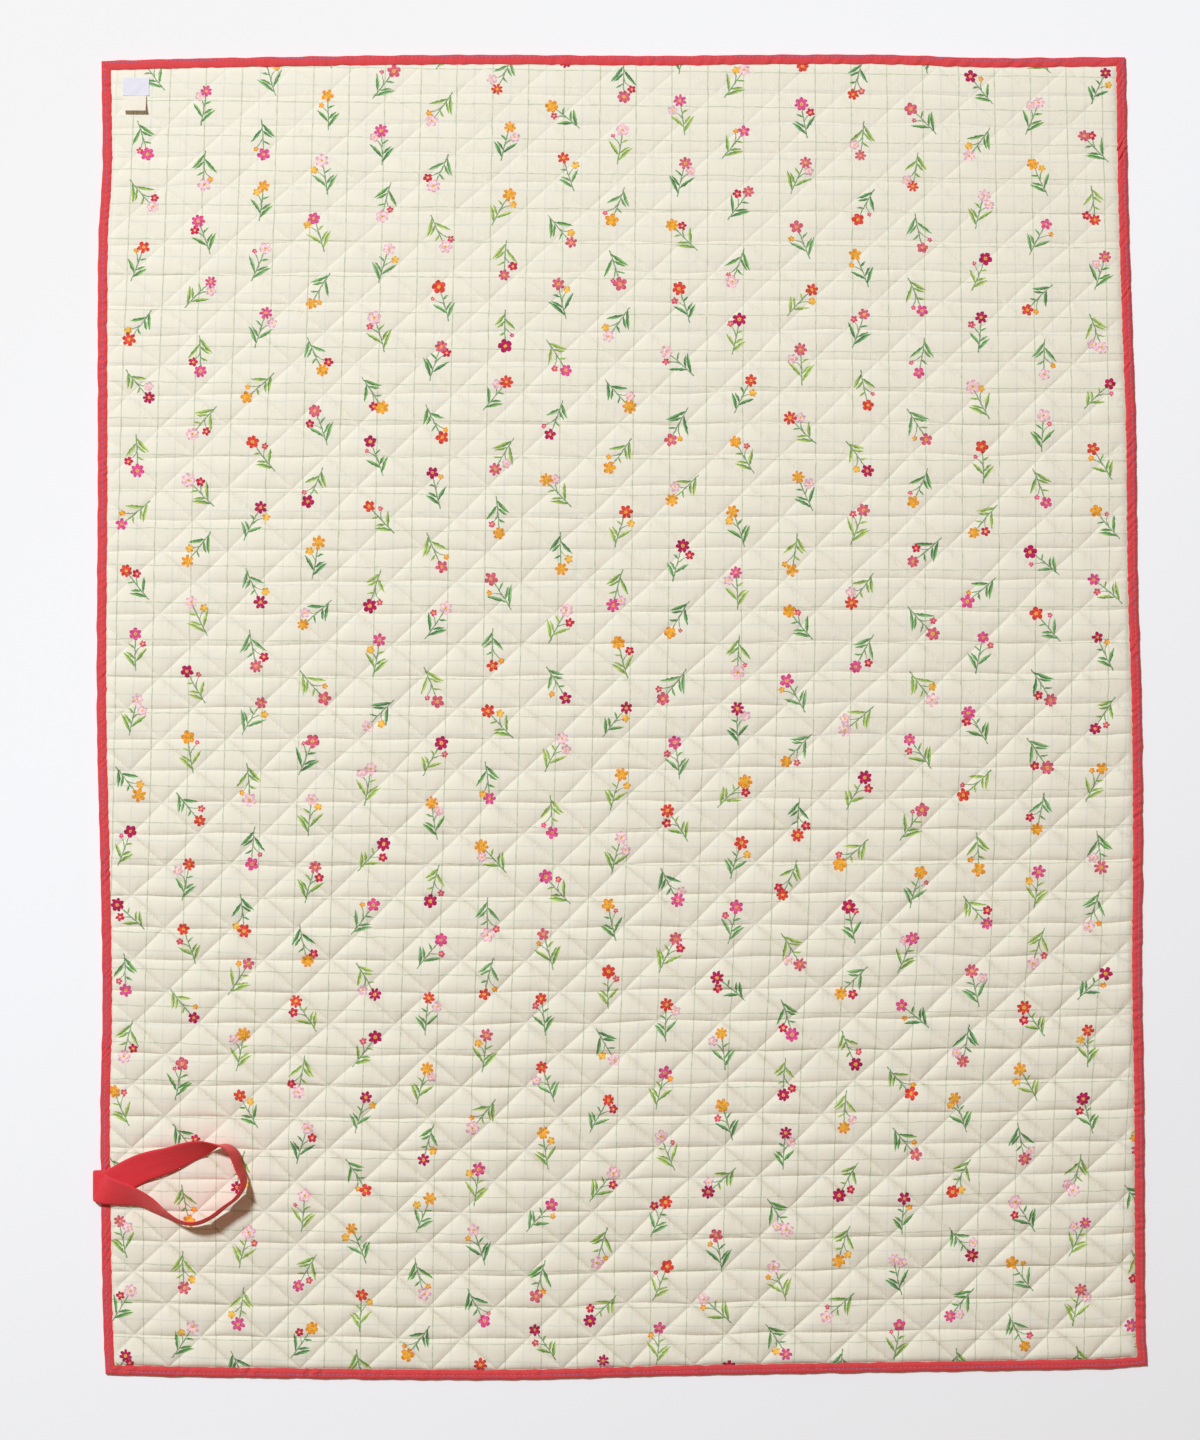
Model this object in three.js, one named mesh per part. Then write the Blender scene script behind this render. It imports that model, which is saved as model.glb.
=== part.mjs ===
// Quilted play mat lying flat, face up: a padded panel sewn through in a triangle lattice,
// its raw edge wrapped in a folded binding, with a webbing carry loop caught in the left
// edge and two small sewn labels in the top left corner.
// Millimetres, +Z up. The underside rests on Z = 0, +Y is the mat's top edge.
import * as THREE from "three";

// Panel and binding
const QUILT_WIDTH = 1100;
const QUILT_LENGTH = 1398;
const PANEL_CENTRE = { x: -0.9, y: 1.85 };
const CLEARANCE = 0.3;
const BINDING_WIDTH = 10.1;
const BINDING_THICKNESS = 1.0;
const BINDING_ROUNDING = 1.4;
const EDGE_PADDING = 2.7;
const EDGE_STEP = 35;

// Quilting: rows across the mat, crossed by two sets of diagonals that meet on the rows
const FIELD_MARGIN = BINDING_WIDTH + 0.5;
const QUILT_ROWS = 42;
const CROSSING_PITCH = 69.3;
const EVEN_ROW_PHASE = -1.75;
const PUFF_RISE = 5.0;
const PUFF_UNEVENNESS = 0.08;
const UNEVEN_ROW_TURN = 2.4;
const UNEVEN_COLUMN_TURN = 4.1;
const PUFF_TOP_SHARE = 0.45;
const FULL_CELL_INRADIUS = 13.9;

// Heights that follow from the layers at the edge
const PANEL_EDGE_FLOOR = BINDING_THICKNESS + CLEARANCE;
const SEAM_HEIGHT = PANEL_EDGE_FLOOR + EDGE_PADDING;
const BINDING_HEIGHT = SEAM_HEIGHT + CLEARANCE + BINDING_THICKNESS;
const PUFF_HEIGHT = SEAM_HEIGHT + PUFF_RISE * (1 + PUFF_UNEVENNESS);

// Carry loop of flat webbing, folded over the left edge onto the face
const STRAP_WIDTH = 32;
const STRAP_THICKNESS = 1.6;
const STRAP_CENTRE_Y = -497;
const STRAP_OVERHANG = 8.2;
const STRAP_LAYER_GAP = 0.4;
const STRAP_FOLD_RADIUS = 2.6;
const STRAP_OUTER_FOLD_RADIUS = STRAP_FOLD_RADIUS + STRAP_THICKNESS + STRAP_LAYER_GAP;
const STRAP_FOLD_STEPS = 8;
const STRAP_STEP = 6;

// Labels
const LABEL_THICKNESS = 1.0;
const LABEL_STEP = 4;
const WHITE_LABEL = { width: 28, height: 19, fromLeft: 37, fromTop: 28.7 };
const CARE_LABEL = { width: 24, length: 17, lift: 8, offCentre: -1, steps: 8 };

// How far each side stands out from the straight rectangle, along its length.
// Left and right run from the bottom corner up, bottom and top from the left corner across.
const LEFT_SIDE = [
  { share: 0.0, out: -4.9 },
  { share: 0.06, out: -2.0 },
  { share: 0.2, out: 0.2 },
  { share: 0.28, out: -2.0 },
  { share: 0.38, out: 0.0 },
  { share: 0.5, out: 4.0 },
  { share: 0.68, out: 3.0 },
  { share: 0.86, out: 2.5 },
  { share: 0.92, out: -2.0 },
  { share: 1.0, out: -0.7 },
];
const RIGHT_SIDE = [
  { share: 0.0, out: 9.9 },
  { share: 0.03, out: 7.2 },
  { share: 0.2, out: 5.9 },
  { share: 0.3, out: 3.6 },
  { share: 0.39, out: 4.6 },
  { share: 0.5, out: 3.4 },
  { share: 0.6, out: -0.9 },
  { share: 0.72, out: -2.9 },
  { share: 0.78, out: -6.0 },
  { share: 0.9, out: -11.3 },
  { share: 1.0, out: -13.4 },
];
const BOTTOM_SIDE = [
  { share: 0.0, out: 0.0 },
  { share: 0.08, out: 2.1 },
  { share: 0.38, out: 5.3 },
  { share: 0.54, out: 1.0 },
  { share: 0.77, out: -3.2 },
  { share: 0.96, out: -6.6 },
  { share: 1.0, out: -9.6 },
];
const TOP_SIDE = [
  { share: 0.0, out: -5.1 },
  { share: 0.12, out: -1.9 },
  { share: 0.35, out: 1.3 },
  { share: 0.55, out: 0.2 },
  { share: 0.64, out: 1.3 },
  { share: 0.77, out: 1.3 },
  { share: 0.86, out: -1.9 },
  { share: 1.0, out: -0.9 },
];

// How far the rows of sewing have crept up from even spacing, by their share of the way up.
const ROW_CREEP = [
  { share: 0.0, up: 0.0 },
  { share: 0.12, up: 1.5 },
  { share: 0.24, up: 3.8 },
  { share: 0.36, up: 6.7 },
  { share: 0.48, up: 9.6 },
  { share: 0.6, up: 11.9 },
  { share: 0.72, up: 13.8 },
  { share: 0.83, up: 11.2 },
  { share: 0.9, up: 7.0 },
  { share: 1.0, up: 0.0 },
];

// The loop's stations from the fold, out along its upper branch, round its far end and
// back along its lower branch. Reach is measured inward from the left edge, rise along
// the edge, lean turns the band from flat (0) over upright (90) to flat again (180), and
// lift is the height of its lower edge over the padding.
const STRAP_STATIONS = [
  { reach: 3, rise: -0.2, lean: 1, lift: 0.6 },
  { reach: 14, rise: 3.2, lean: 6, lift: 0.6 },
  { reach: 29, rise: 12, lean: 11, lift: 0.6 },
  { reach: 45, rise: 20, lean: 16, lift: 0.6 },
  { reach: 60, rise: 25, lean: 21, lift: 0.6 },
  { reach: 76, rise: 30, lean: 31, lift: 0.6 },
  { reach: 92, rise: 36.6, lean: 41, lift: 0.6 },
  { reach: 105.5, rise: 41.3, lean: 50, lift: 0.6 },
  { reach: 116, rise: 44.5, lean: 63, lift: 0.8 },
  { reach: 127, rise: 45.8, lean: 82, lift: 1 },
  { reach: 135.5, rise: 44.2, lean: 92, lift: 1.2 },
  { reach: 141.5, rise: 40, lean: 97, lift: 1.4 },
  { reach: 145.8, rise: 32.3, lean: 101, lift: 1.8 },
  { reach: 149, rise: 22, lean: 98, lift: 2.4 },
  { reach: 153.5, rise: 10.7, lean: 96, lift: 3 },
  { reach: 153.5, rise: 2, lean: 95, lift: 3.8 },
  { reach: 146.5, rise: -9.4, lean: 96.5, lift: 4.6 },
  { reach: 134.5, rise: -18.6, lean: 98, lift: 5.4 },
  { reach: 119.5, rise: -30, lean: 100, lift: 5.8 },
  { reach: 103, rise: -36.4, lean: 103, lift: 5.4 },
  { reach: 89, rise: -35.4, lean: 105.5, lift: 4.2 },
  { reach: 74, rise: -28, lean: 109, lift: 2.8 },
  { reach: 59, rise: -18.7, lean: 121, lift: 1.6 },
  { reach: 46, rise: -11.6, lean: 127, lift: 1 },
  { reach: 34, rise: -8.1, lean: 138, lift: 1 },
  { reach: 21, rise: -5.8, lean: 149.5, lift: 1.8 },
  { reach: 10, rise: -3.6, lean: 160, lift: 2.4 },
  { reach: 2, rise: -1.6, lean: 177, lift: 2.8 },
];

// Smooth curve through a table's rows: cubic pieces with the mean slope at each row.
function tableCurve(rows, across, up) {
  const slope = rows.map((row, i) => {
    const before = rows[Math.max(i - 1, 0)];
    const after = rows[Math.min(i + 1, rows.length - 1)];
    return (after[up] - before[up]) / (after[across] - before[across]);
  });
  return (position) => {
    let i = 0;
    while (i < rows.length - 2 && position > rows[i + 1][across]) {
      i += 1;
    }
    const span = rows[i + 1][across] - rows[i][across];
    const t = (position - rows[i][across]) / span;
    const rising = t * t * (3 - 2 * t);
    return (
      rows[i][up] * (1 - rising) +
      rows[i + 1][up] * rising +
      slope[i] * span * t * (1 - t) * (1 - t) -
      slope[i + 1] * span * t * t * (1 - t)
    );
  };
}

const leftOut = tableCurve(LEFT_SIDE, "share", "out");
const rightOut = tableCurve(RIGHT_SIDE, "share", "out");
const bottomOut = tableCurve(BOTTOM_SIDE, "share", "out");
const topOut = tableCurve(TOP_SIDE, "share", "out");
const rowCreep = tableCurve(ROW_CREEP, "share", "up");

// A point of the cloth, measured from its bottom left corner, as it lies on the floor.
function lay(across, along, height) {
  const u = across / QUILT_WIDTH;
  const v = along / QUILT_LENGTH;
  const left = -QUILT_WIDTH / 2 - leftOut(v);
  const right = QUILT_WIDTH / 2 + rightOut(v);
  const bottom = -QUILT_LENGTH / 2 - bottomOut(u);
  const top = QUILT_LENGTH / 2 + topOut(u);
  return new THREE.Vector3(
    PANEL_CENTRE.x + THREE.MathUtils.lerp(left, right, u),
    PANEL_CENTRE.y + THREE.MathUtils.lerp(bottom, top, v),
    height,
  );
}

// How much fuller or flatter than the mean a numbered cell is, from -1 to 1.
function unevenness(row, column) {
  return Math.sin(row * UNEVEN_ROW_TURN + column * UNEVEN_COLUMN_TURN);
}

// Triangles gathered as corner points, turned into one geometry.
class Facets {
  constructor() {
    this.points = [];
  }
  triangle(a, b, c) {
    this.points.push(a, b, c);
  }
  quad(a, b, c, d) {
    this.triangle(a, b, c);
    this.triangle(a, c, d);
  }
  fan(polygon) {
    for (let i = 1; i < polygon.length - 1; i += 1) {
      this.triangle(polygon[0], polygon[i], polygon[i + 1]);
    }
  }
  geometry() {
    const made = new THREE.BufferGeometry().setFromPoints(this.points);
    made.computeVertexNormals();
    return made;
  }
}

// The four sides of the cloth at one inset, each as a row of points, counter-clockwise.
function insetSides(inset, height) {
  const acrossSteps = Math.round(QUILT_WIDTH / EDGE_STEP);
  const alongSteps = Math.round(QUILT_LENGTH / EDGE_STEP);
  const acrossAt = (i) => THREE.MathUtils.lerp(inset, QUILT_WIDTH - inset, i / acrossSteps);
  const alongAt = (i) => THREE.MathUtils.lerp(inset, QUILT_LENGTH - inset, i / alongSteps);
  const side = (steps, at) => Array.from({ length: steps + 1 }, (_, i) => at(i));
  return {
    bottom: side(acrossSteps, (i) => lay(acrossAt(i), inset, height)),
    right: side(alongSteps, (i) => lay(QUILT_WIDTH - inset, alongAt(i), height)),
    top: side(acrossSteps, (i) => lay(acrossAt(acrossSteps - i), QUILT_LENGTH - inset, height)),
    left: side(alongSteps, (i) => lay(inset, alongAt(alongSteps - i), height)),
  };
}

// The same four sides joined into one closed ring of points.
function insetRing(inset, height) {
  const sides = insetSides(inset, height);
  return Object.values(sides).flatMap((points) => points.slice(0, -1));
}

// Joins two closed rings of equal count, the first lying to the right of the walk.
function bridgeRings(facets, outer, inner) {
  outer.forEach((point, i) => {
    const next = (i + 1) % outer.length;
    facets.quad(point, outer[next], inner[next], inner[i]);
  });
}

// Sewn cells

const field = {
  left: FIELD_MARGIN,
  right: QUILT_WIDTH - FIELD_MARGIN,
  bottom: FIELD_MARGIN,
  top: QUILT_LENGTH - FIELD_MARGIN,
};
const rowPitch = (field.top - field.bottom) / QUILT_ROWS;
const rowLine = (row) => field.bottom + row * rowPitch + rowCreep(row / QUILT_ROWS);

// Cuts a polygon of {across, along} corners at an upright line and keeps one side of it.
function clipAcross(polygon, limit, keepRight) {
  const inside = (p) => (keepRight ? p.across >= limit : p.across <= limit);
  const kept = [];
  polygon.forEach((corner, i) => {
    const next = polygon[(i + 1) % polygon.length];
    if (inside(corner)) {
      kept.push(corner);
    }
    if (inside(corner) !== inside(next)) {
      const t = (limit - corner.across) / (next.across - corner.across);
      kept.push({ across: limit, along: THREE.MathUtils.lerp(corner.along, next.along, t) });
    }
  });
  return kept;
}

// One row's triangles, point up and point down in turn, cut off at the field's two sides.
function rowCells(row) {
  const phase = EVEN_ROW_PHASE + (row % 2 ? CROSSING_PITCH / 2 : 0);
  const low = rowLine(row);
  const high = rowLine(row + 1);
  const cells = [];
  for (let start = phase - 2 * CROSSING_PITCH; start < field.right; start += CROSSING_PITCH) {
    const half = CROSSING_PITCH / 2;
    cells.push([
      { across: start, along: low },
      { across: start + CROSSING_PITCH, along: low },
      { across: start + half, along: high },
    ]);
    cells.push([
      { across: start + CROSSING_PITCH, along: low },
      { across: start + CROSSING_PITCH + half, along: high },
      { across: start + half, along: high },
    ]);
  }
  return cells
    .map((cell) => clipAcross(clipAcross(cell, field.left, true), field.right, false))
    .filter((cell) => cell.length >= 3);
}

// Radius of the circle that a cell's area and outline give, a measure of how full it puffs.
function cellInradius(cell) {
  let area = 0;
  let outline = 0;
  cell.forEach((p, i) => {
    const q = cell[(i + 1) % cell.length];
    area += (p.across * q.along - q.across * p.along) / 2;
    outline += Math.hypot(q.across - p.across, q.along - p.along);
  });
  return (2 * area) / outline;
}

// A stuffed cell: sloped sides from its seams up to a smaller flat top.
function puffCell(facets, cell, unevenShare) {
  const fullness = Math.min(1, cellInradius(cell) / FULL_CELL_INRADIUS);
  const height = SEAM_HEIGHT + PUFF_RISE * fullness * (1 + PUFF_UNEVENNESS * unevenShare);
  const middle = {
    across: cell.reduce((sum, p) => sum + p.across, 0) / cell.length,
    along: cell.reduce((sum, p) => sum + p.along, 0) / cell.length,
  };
  const seam = cell.map((p) => lay(p.across, p.along, SEAM_HEIGHT));
  const crown = cell.map((p) =>
    lay(
      THREE.MathUtils.lerp(middle.across, p.across, PUFF_TOP_SHARE),
      THREE.MathUtils.lerp(middle.along, p.along, PUFF_TOP_SHARE),
      height,
    ),
  );
  bridgeRings(facets, seam, crown);
  facets.fan(crown);
}

// The corners of all cells that lie on one side of the field, in the walk's order.
function fieldSide(cells, fixed, limit, moving, direction) {
  const found = new Map();
  cells.flat().forEach((p) => {
    if (Math.abs(p[fixed] - limit) < 1e-6) {
      found.set(p[moving].toFixed(4), p);
    }
  });
  return [...found.values()].sort((p, q) => direction * (p[moving] - q[moving]));
}

// Fills the strip between an outer and an inner row of points with differing counts.
function zipRows(facets, outer, inner) {
  let o = 0;
  let i = 0;
  const share = (points, index) =>
    points[0].distanceTo(points[index]) / points[0].distanceTo(points[points.length - 1]);
  while (o < outer.length - 1 || i < inner.length - 1) {
    const stepOuter =
      i === inner.length - 1 ||
      (o < outer.length - 1 && share(outer, o + 1) <= share(inner, i + 1));
    if (stepOuter) {
      facets.triangle(outer[o], outer[o + 1], inner[i]);
      o += 1;
    } else {
      facets.triangle(outer[o], inner[i + 1], inner[i]);
      i += 1;
    }
  }
}

// The flat underside: one strip for each step up the sides, with fans at both ends.
function flatUnderside(facets, sides) {
  const left = [...sides.left].reverse();
  const { bottom, right, top } = sides;
  const last = left.length - 1;
  facets.fan([left[1], ...[...bottom, right[1]].reverse()]);
  for (let i = 1; i < last - 1; i += 1) {
    facets.quad(left[i], left[i + 1], right[i + 1], right[i]);
  }
  facets.fan([left[last - 1], ...[right[last - 1], ...top].reverse()]);
}

function quiltPanel() {
  const facets = new Facets();
  const cells = [];
  for (let row = 0; row < QUILT_ROWS; row += 1) {
    rowCells(row).forEach((cell, column) => {
      puffCell(facets, cell, unevenness(row, column));
      cells.push(cell);
    });
  }
  const seamRow = (points) => points.map((p) => lay(p.across, p.along, SEAM_HEIGHT));
  const inner = {
    bottom: seamRow(fieldSide(cells, "along", field.bottom, "across", 1)),
    right: seamRow(fieldSide(cells, "across", field.right, "along", 1)),
    top: seamRow(fieldSide(cells, "along", field.top, "across", -1)),
    left: seamRow(fieldSide(cells, "across", field.left, "along", -1)),
  };
  const edgeInset = BINDING_THICKNESS + CLEARANCE;
  const outer = insetSides(edgeInset, SEAM_HEIGHT);
  Object.keys(outer).forEach((side) => zipRows(facets, outer[side], inner[side]));
  bridgeRings(facets, insetRing(edgeInset, PANEL_EDGE_FLOOR), insetRing(edgeInset, SEAM_HEIGHT));
  const stepInset = BINDING_WIDTH + CLEARANCE;
  const floorInset = stepInset + PANEL_EDGE_FLOOR;
  bridgeRings(facets, insetRing(floorInset, 0), insetRing(stepInset, PANEL_EDGE_FLOOR));
  bridgeRings(facets, insetRing(stepInset, PANEL_EDGE_FLOOR), insetRing(edgeInset, PANEL_EDGE_FLOOR));
  flatUnderside(facets, insetSides(floorInset, 0));
  return facets.geometry();
}

// The binding: a strip folded round the edge, its section carried round with mitred corners.
function binding() {
  const top = BINDING_HEIGHT;
  const inside = BINDING_THICKNESS;
  const r = BINDING_ROUNDING;
  const cut = r * (1 - Math.SQRT1_2);
  const section = [
    [r, 0],
    [cut, cut],
    [0, r],
    [0, top - r],
    [cut, top - cut],
    [r, top],
    [BINDING_WIDTH, top],
    [BINDING_WIDTH, top - inside],
    [inside, top - inside],
    [inside, inside],
    [BINDING_WIDTH, inside],
    [BINDING_WIDTH, 0],
  ];
  const facets = new Facets();
  const rings = section.map(([inset, height]) => insetRing(inset, height));
  rings.forEach((ring, i) => {
    const nextRing = rings[(i + 1) % rings.length];
    bridgeRings(facets, ring, nextRing);
  });
  return facets.geometry();
}

// A flat band swept along stations of {centre, width direction, face direction}.
function bandGeometry(stations, width, thickness) {
  const corners = ({ centre, across, face }) =>
    [
      [-0.5, -0.5],
      [0, -0.5],
      [0.5, -0.5],
      [0.5, 0.5],
      [0, 0.5],
      [-0.5, 0.5],
    ].map(([w, t]) =>
      centre
        .clone()
        .addScaledVector(across, w * width)
        .addScaledVector(face, t * thickness),
    );
  const facets = new Facets();
  const sections = stations.map(corners);
  for (let s = 0; s < sections.length - 1; s += 1) {
    const here = sections[s];
    const there = sections[s + 1];
    here.forEach((point, i) => {
      const next = (i + 1) % here.length;
      facets.quad(point, here[next], there[next], there[i]);
    });
  }
  facets.fan([...sections[0]].reverse());
  facets.fan(sections[sections.length - 1]);
  return facets.geometry();
}

// Carry loop

// Half a turn over the edge in the X-Z plane, from the sewn end up to the face.
function strapFold(edgeX, radius, middleHeight) {
  const turnX = edgeX - STRAP_OVERHANG + STRAP_OUTER_FOLD_RADIUS + STRAP_THICKNESS / 2;
  const points = [new THREE.Vector3(edgeX - STRAP_LAYER_GAP, STRAP_CENTRE_Y, middleHeight - radius)];
  for (let i = 0; i <= STRAP_FOLD_STEPS; i += 1) {
    const angle = (i / STRAP_FOLD_STEPS) * Math.PI;
    points.push(
      new THREE.Vector3(
        turnX - radius * Math.sin(angle),
        STRAP_CENTRE_Y,
        middleHeight - radius * Math.cos(angle),
      ),
    );
  }
  return points;
}

function carryStrap() {
  const strapAlong = STRAP_CENTRE_Y - PANEL_CENTRE.y + QUILT_LENGTH / 2;
  const edgeX = Math.min(
    ...[-0.5, 0, 0.5].map((share) => lay(0, strapAlong + share * STRAP_WIDTH, 0).x),
  );
  const foldMiddle = STRAP_OUTER_FOLD_RADIUS + STRAP_THICKNESS / 2 + CLEARANCE;
  const laid = STRAP_STATIONS.map(({ reach, rise, lean, lift }) => {
    const tilt = THREE.MathUtils.degToRad(lean);
    const halfHeight = (STRAP_WIDTH * Math.sin(tilt) + STRAP_THICKNESS * Math.abs(Math.cos(tilt))) / 2;
    return {
      centre: new THREE.Vector3(edgeX + reach, STRAP_CENTRE_Y + rise, PUFF_HEIGHT + lift + halfHeight),
      lean,
    };
  });
  const innerFold = strapFold(edgeX, STRAP_FOLD_RADIUS, foldMiddle).map((centre) => ({ centre, lean: 0 }));
  const outerFold = strapFold(edgeX, STRAP_OUTER_FOLD_RADIUS, foldMiddle)
    .map((centre) => ({ centre, lean: 180 }))
    .reverse();
  const route = [...innerFold, ...laid, ...outerFold];
  const line = new THREE.CatmullRomCurve3(
    route.map(({ centre }) => centre),
    false,
    "centripetal",
  );
  const leanAt = tableCurve(
    route.map(({ lean }, index) => ({ index, lean })),
    "index",
    "lean",
  );
  const stations = [];
  route.slice(0, -1).forEach(({ centre }, i) => {
    const steps = Math.max(1, Math.round(centre.distanceTo(route[i + 1].centre) / STRAP_STEP));
    for (let s = 0; s < steps; s += 1) {
      stations.push((i + s / steps) / (route.length - 1));
    }
  });
  stations.push(1);
  const firstLaid = innerFold.length - 1;
  const lastLaid = firstLaid + laid.length + 1;
  return bandGeometry(
    stations.map((share) => {
      const along = line.getTangent(share);
      const index = share * (route.length - 1);
      const onFold = index <= firstLaid || index >= lastLaid;
      const heading = new THREE.Vector3(along.x, along.y, 0).normalize();
      const side = new THREE.Vector3(-heading.y, heading.x, 0);
      const tilt = THREE.MathUtils.degToRad(leanAt(index));
      const across = onFold
        ? new THREE.Vector3(0, 1, 0)
        : side.multiplyScalar(Math.cos(tilt)).add(new THREE.Vector3(0, 0, Math.sin(tilt)));
      across.addScaledVector(along, -across.dot(along)).normalize();
      const face = new THREE.Vector3().crossVectors(along, across);
      return { centre: line.getPoint(share), across, face };
    }),
    STRAP_WIDTH,
    STRAP_THICKNESS,
  );
}

// Labels

// Height of the padded face under a point, taken as the highest within a small reach.
function faceHeight(panel, x, y, reach) {
  const ray = new THREE.Raycaster();
  const down = new THREE.Vector3(0, 0, -1);
  let highest = SEAM_HEIGHT;
  for (const dx of [-reach, -reach / 2, 0, reach / 2, reach]) {
    for (const dy of [-reach, -reach / 2, 0, reach / 2, reach]) {
      ray.set(new THREE.Vector3(x + dx, y + dy, PUFF_HEIGHT + 10), down);
      const hit = ray.intersectObject(panel)[0];
      if (hit) {
        highest = Math.max(highest, hit.point.z);
      }
    }
  }
  return highest;
}

// A label sewn flat: a thin sheet that rides over the padding.
function whiteLabel(panel) {
  const { width, height, fromLeft, fromTop } = WHITE_LABEL;
  const columns = Math.round(width / LABEL_STEP);
  const rows = Math.round(height / LABEL_STEP);
  const middle = lay(fromLeft, QUILT_LENGTH - fromTop, 0);
  const grid = (lift) =>
    Array.from({ length: rows + 1 }, (_, j) =>
      Array.from({ length: columns + 1 }, (_unused, i) => {
        const x = middle.x + (i / columns - 0.5) * width;
        const y = middle.y + (j / rows - 0.5) * height;
        return new THREE.Vector3(x, y, faceHeight(panel, x, y, LABEL_STEP * 1.5) + lift);
      }),
    );
  const lower = grid(CLEARANCE);
  const upper = grid(CLEARANCE + LABEL_THICKNESS);
  const facets = new Facets();
  for (let j = 0; j < rows; j += 1) {
    for (let i = 0; i < columns; i += 1) {
      facets.quad(upper[j][i], upper[j][i + 1], upper[j + 1][i + 1], upper[j + 1][i]);
      facets.quad(lower[j][i], lower[j + 1][i], lower[j + 1][i + 1], lower[j][i + 1]);
    }
  }
  const rim = (g) => [
    ...g[0].slice(0, -1),
    ...g.slice(0, -1).map((r) => r[columns]),
    ...[...g[rows]].reverse().slice(0, -1),
    ...[...g].reverse().slice(0, -1).map((r) => r[0]),
  ];
  bridgeRings(facets, rim(lower), rim(upper));
  return facets.geometry();
}

// A narrower label that leaves the white one's lower edge and folds up off the padding.
function careLabel(panel) {
  const { width, length, lift, offCentre, steps } = CARE_LABEL;
  const middle = lay(WHITE_LABEL.fromLeft, QUILT_LENGTH - WHITE_LABEL.fromTop, 0);
  const startY = middle.y - WHITE_LABEL.height / 2 - CLEARANCE;
  const under = faceHeight(panel, middle.x, startY - length / 2, length / 2);
  const startZ = under + CLEARANCE + LABEL_THICKNESS / 2;
  const stations = [];
  for (let i = 0; i <= steps; i += 1) {
    const share = i / steps;
    const rise = (lift * (share + share * share)) / 2;
    const steepness = (lift * (1 + 2 * share)) / 2;
    const centre = new THREE.Vector3(middle.x + offCentre, startY - length * share, startZ + rise);
    const along = new THREE.Vector3(0, -length, steepness).normalize();
    const across = new THREE.Vector3(1, 0, 0);
    stations.push({ centre, across, face: new THREE.Vector3().crossVectors(along, across) });
  }
  return bandGeometry(stations, width, LABEL_THICKNESS);
}

// Finishes

const cloth = (color, roughness) => new THREE.MeshStandardMaterial({ color, roughness, metalness: 0 });
const printedCotton = cloth(0xede4d3, 0.9);
const redCotton = cloth(0xd8434b, 0.85);
const redWebbing = cloth(0xcb3a45, 0.8);
const whiteSatin = cloth(0xeeedf2, 0.6);
const creamTape = cloth(0xefe6d6, 0.85);

function piece(name, geometry, material) {
  const mesh = new THREE.Mesh(geometry, material);
  mesh.name = name;
  return mesh;
}

const quilt = new THREE.Group();
const panel = piece("quilt_panel", quiltPanel(), printedCotton);
quilt.add(panel);
quilt.add(piece("binding", binding(), redCotton));
quilt.add(piece("carry_strap", carryStrap(), redWebbing));
quilt.add(piece("white_label", whiteLabel(panel), whiteSatin));
quilt.add(piece("care_label", careLabel(panel), creamTape));

export default quilt;
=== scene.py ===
import math

import bpy
import numpy as np
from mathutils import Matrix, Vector


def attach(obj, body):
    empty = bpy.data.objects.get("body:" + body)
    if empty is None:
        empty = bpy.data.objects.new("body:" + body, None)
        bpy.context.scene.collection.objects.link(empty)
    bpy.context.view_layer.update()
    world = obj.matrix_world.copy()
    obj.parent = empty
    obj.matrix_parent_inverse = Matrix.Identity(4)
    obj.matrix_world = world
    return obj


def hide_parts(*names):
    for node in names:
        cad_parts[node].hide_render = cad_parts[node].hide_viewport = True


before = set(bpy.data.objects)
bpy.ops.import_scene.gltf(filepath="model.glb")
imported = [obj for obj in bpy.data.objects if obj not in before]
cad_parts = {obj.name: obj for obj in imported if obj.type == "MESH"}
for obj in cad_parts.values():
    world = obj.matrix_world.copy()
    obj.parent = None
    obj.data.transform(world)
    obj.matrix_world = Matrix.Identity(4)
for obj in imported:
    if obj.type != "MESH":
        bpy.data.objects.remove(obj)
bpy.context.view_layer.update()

bl_info = {
    "name": "Play Quilt",
    "version": (1, 0, 0),
    "blender": (4, 5, 0),
    "location": "View3D > Sidebar > Play Quilt",
    "description": "Sews the padded panel, binding, carry loop and labels of a play quilt",
    "category": "Object",
}

MM = 0.001
CLOTH_MAP = "cloth"
SEAM_ATTRIBUTE = "seam"


def srgb(red, green, blue):
    """A colour as a screen shows it, 0 to 255, in the linear values that shaders take."""

    def linear(value):
        share = value / 255
        return share / 12.92 if share <= 0.04045 else ((share + 0.055) / 1.055) ** 2.4

    return linear(red), linear(green), linear(blue), 1.0


def size_property(name, description, default):
    return bpy.props.FloatProperty(
        name=name,
        description=description,
        default=default,
        min=0.0,
        precision=4,
        subtype="DISTANCE",
        unit="LENGTH",
    )


def place_property(name, description, default):
    return bpy.props.FloatVectorProperty(
        name=name, description=description, default=default, subtype="TRANSLATION", unit="LENGTH"
    )


def colour_property(name, description, red, green, blue):
    return bpy.props.FloatVectorProperty(
        name=name,
        description=description,
        default=srgb(red, green, blue),
        size=4,
        min=0.0,
        max=1.0,
        subtype="COLOR",
    )


def share_property(name, description, default):
    return bpy.props.FloatProperty(
        name=name, description=description, default=default, min=0.0, max=1.0, subtype="FACTOR"
    )


# How the quilt lies: each side's outward bow in mm, by the share along the side.

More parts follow.
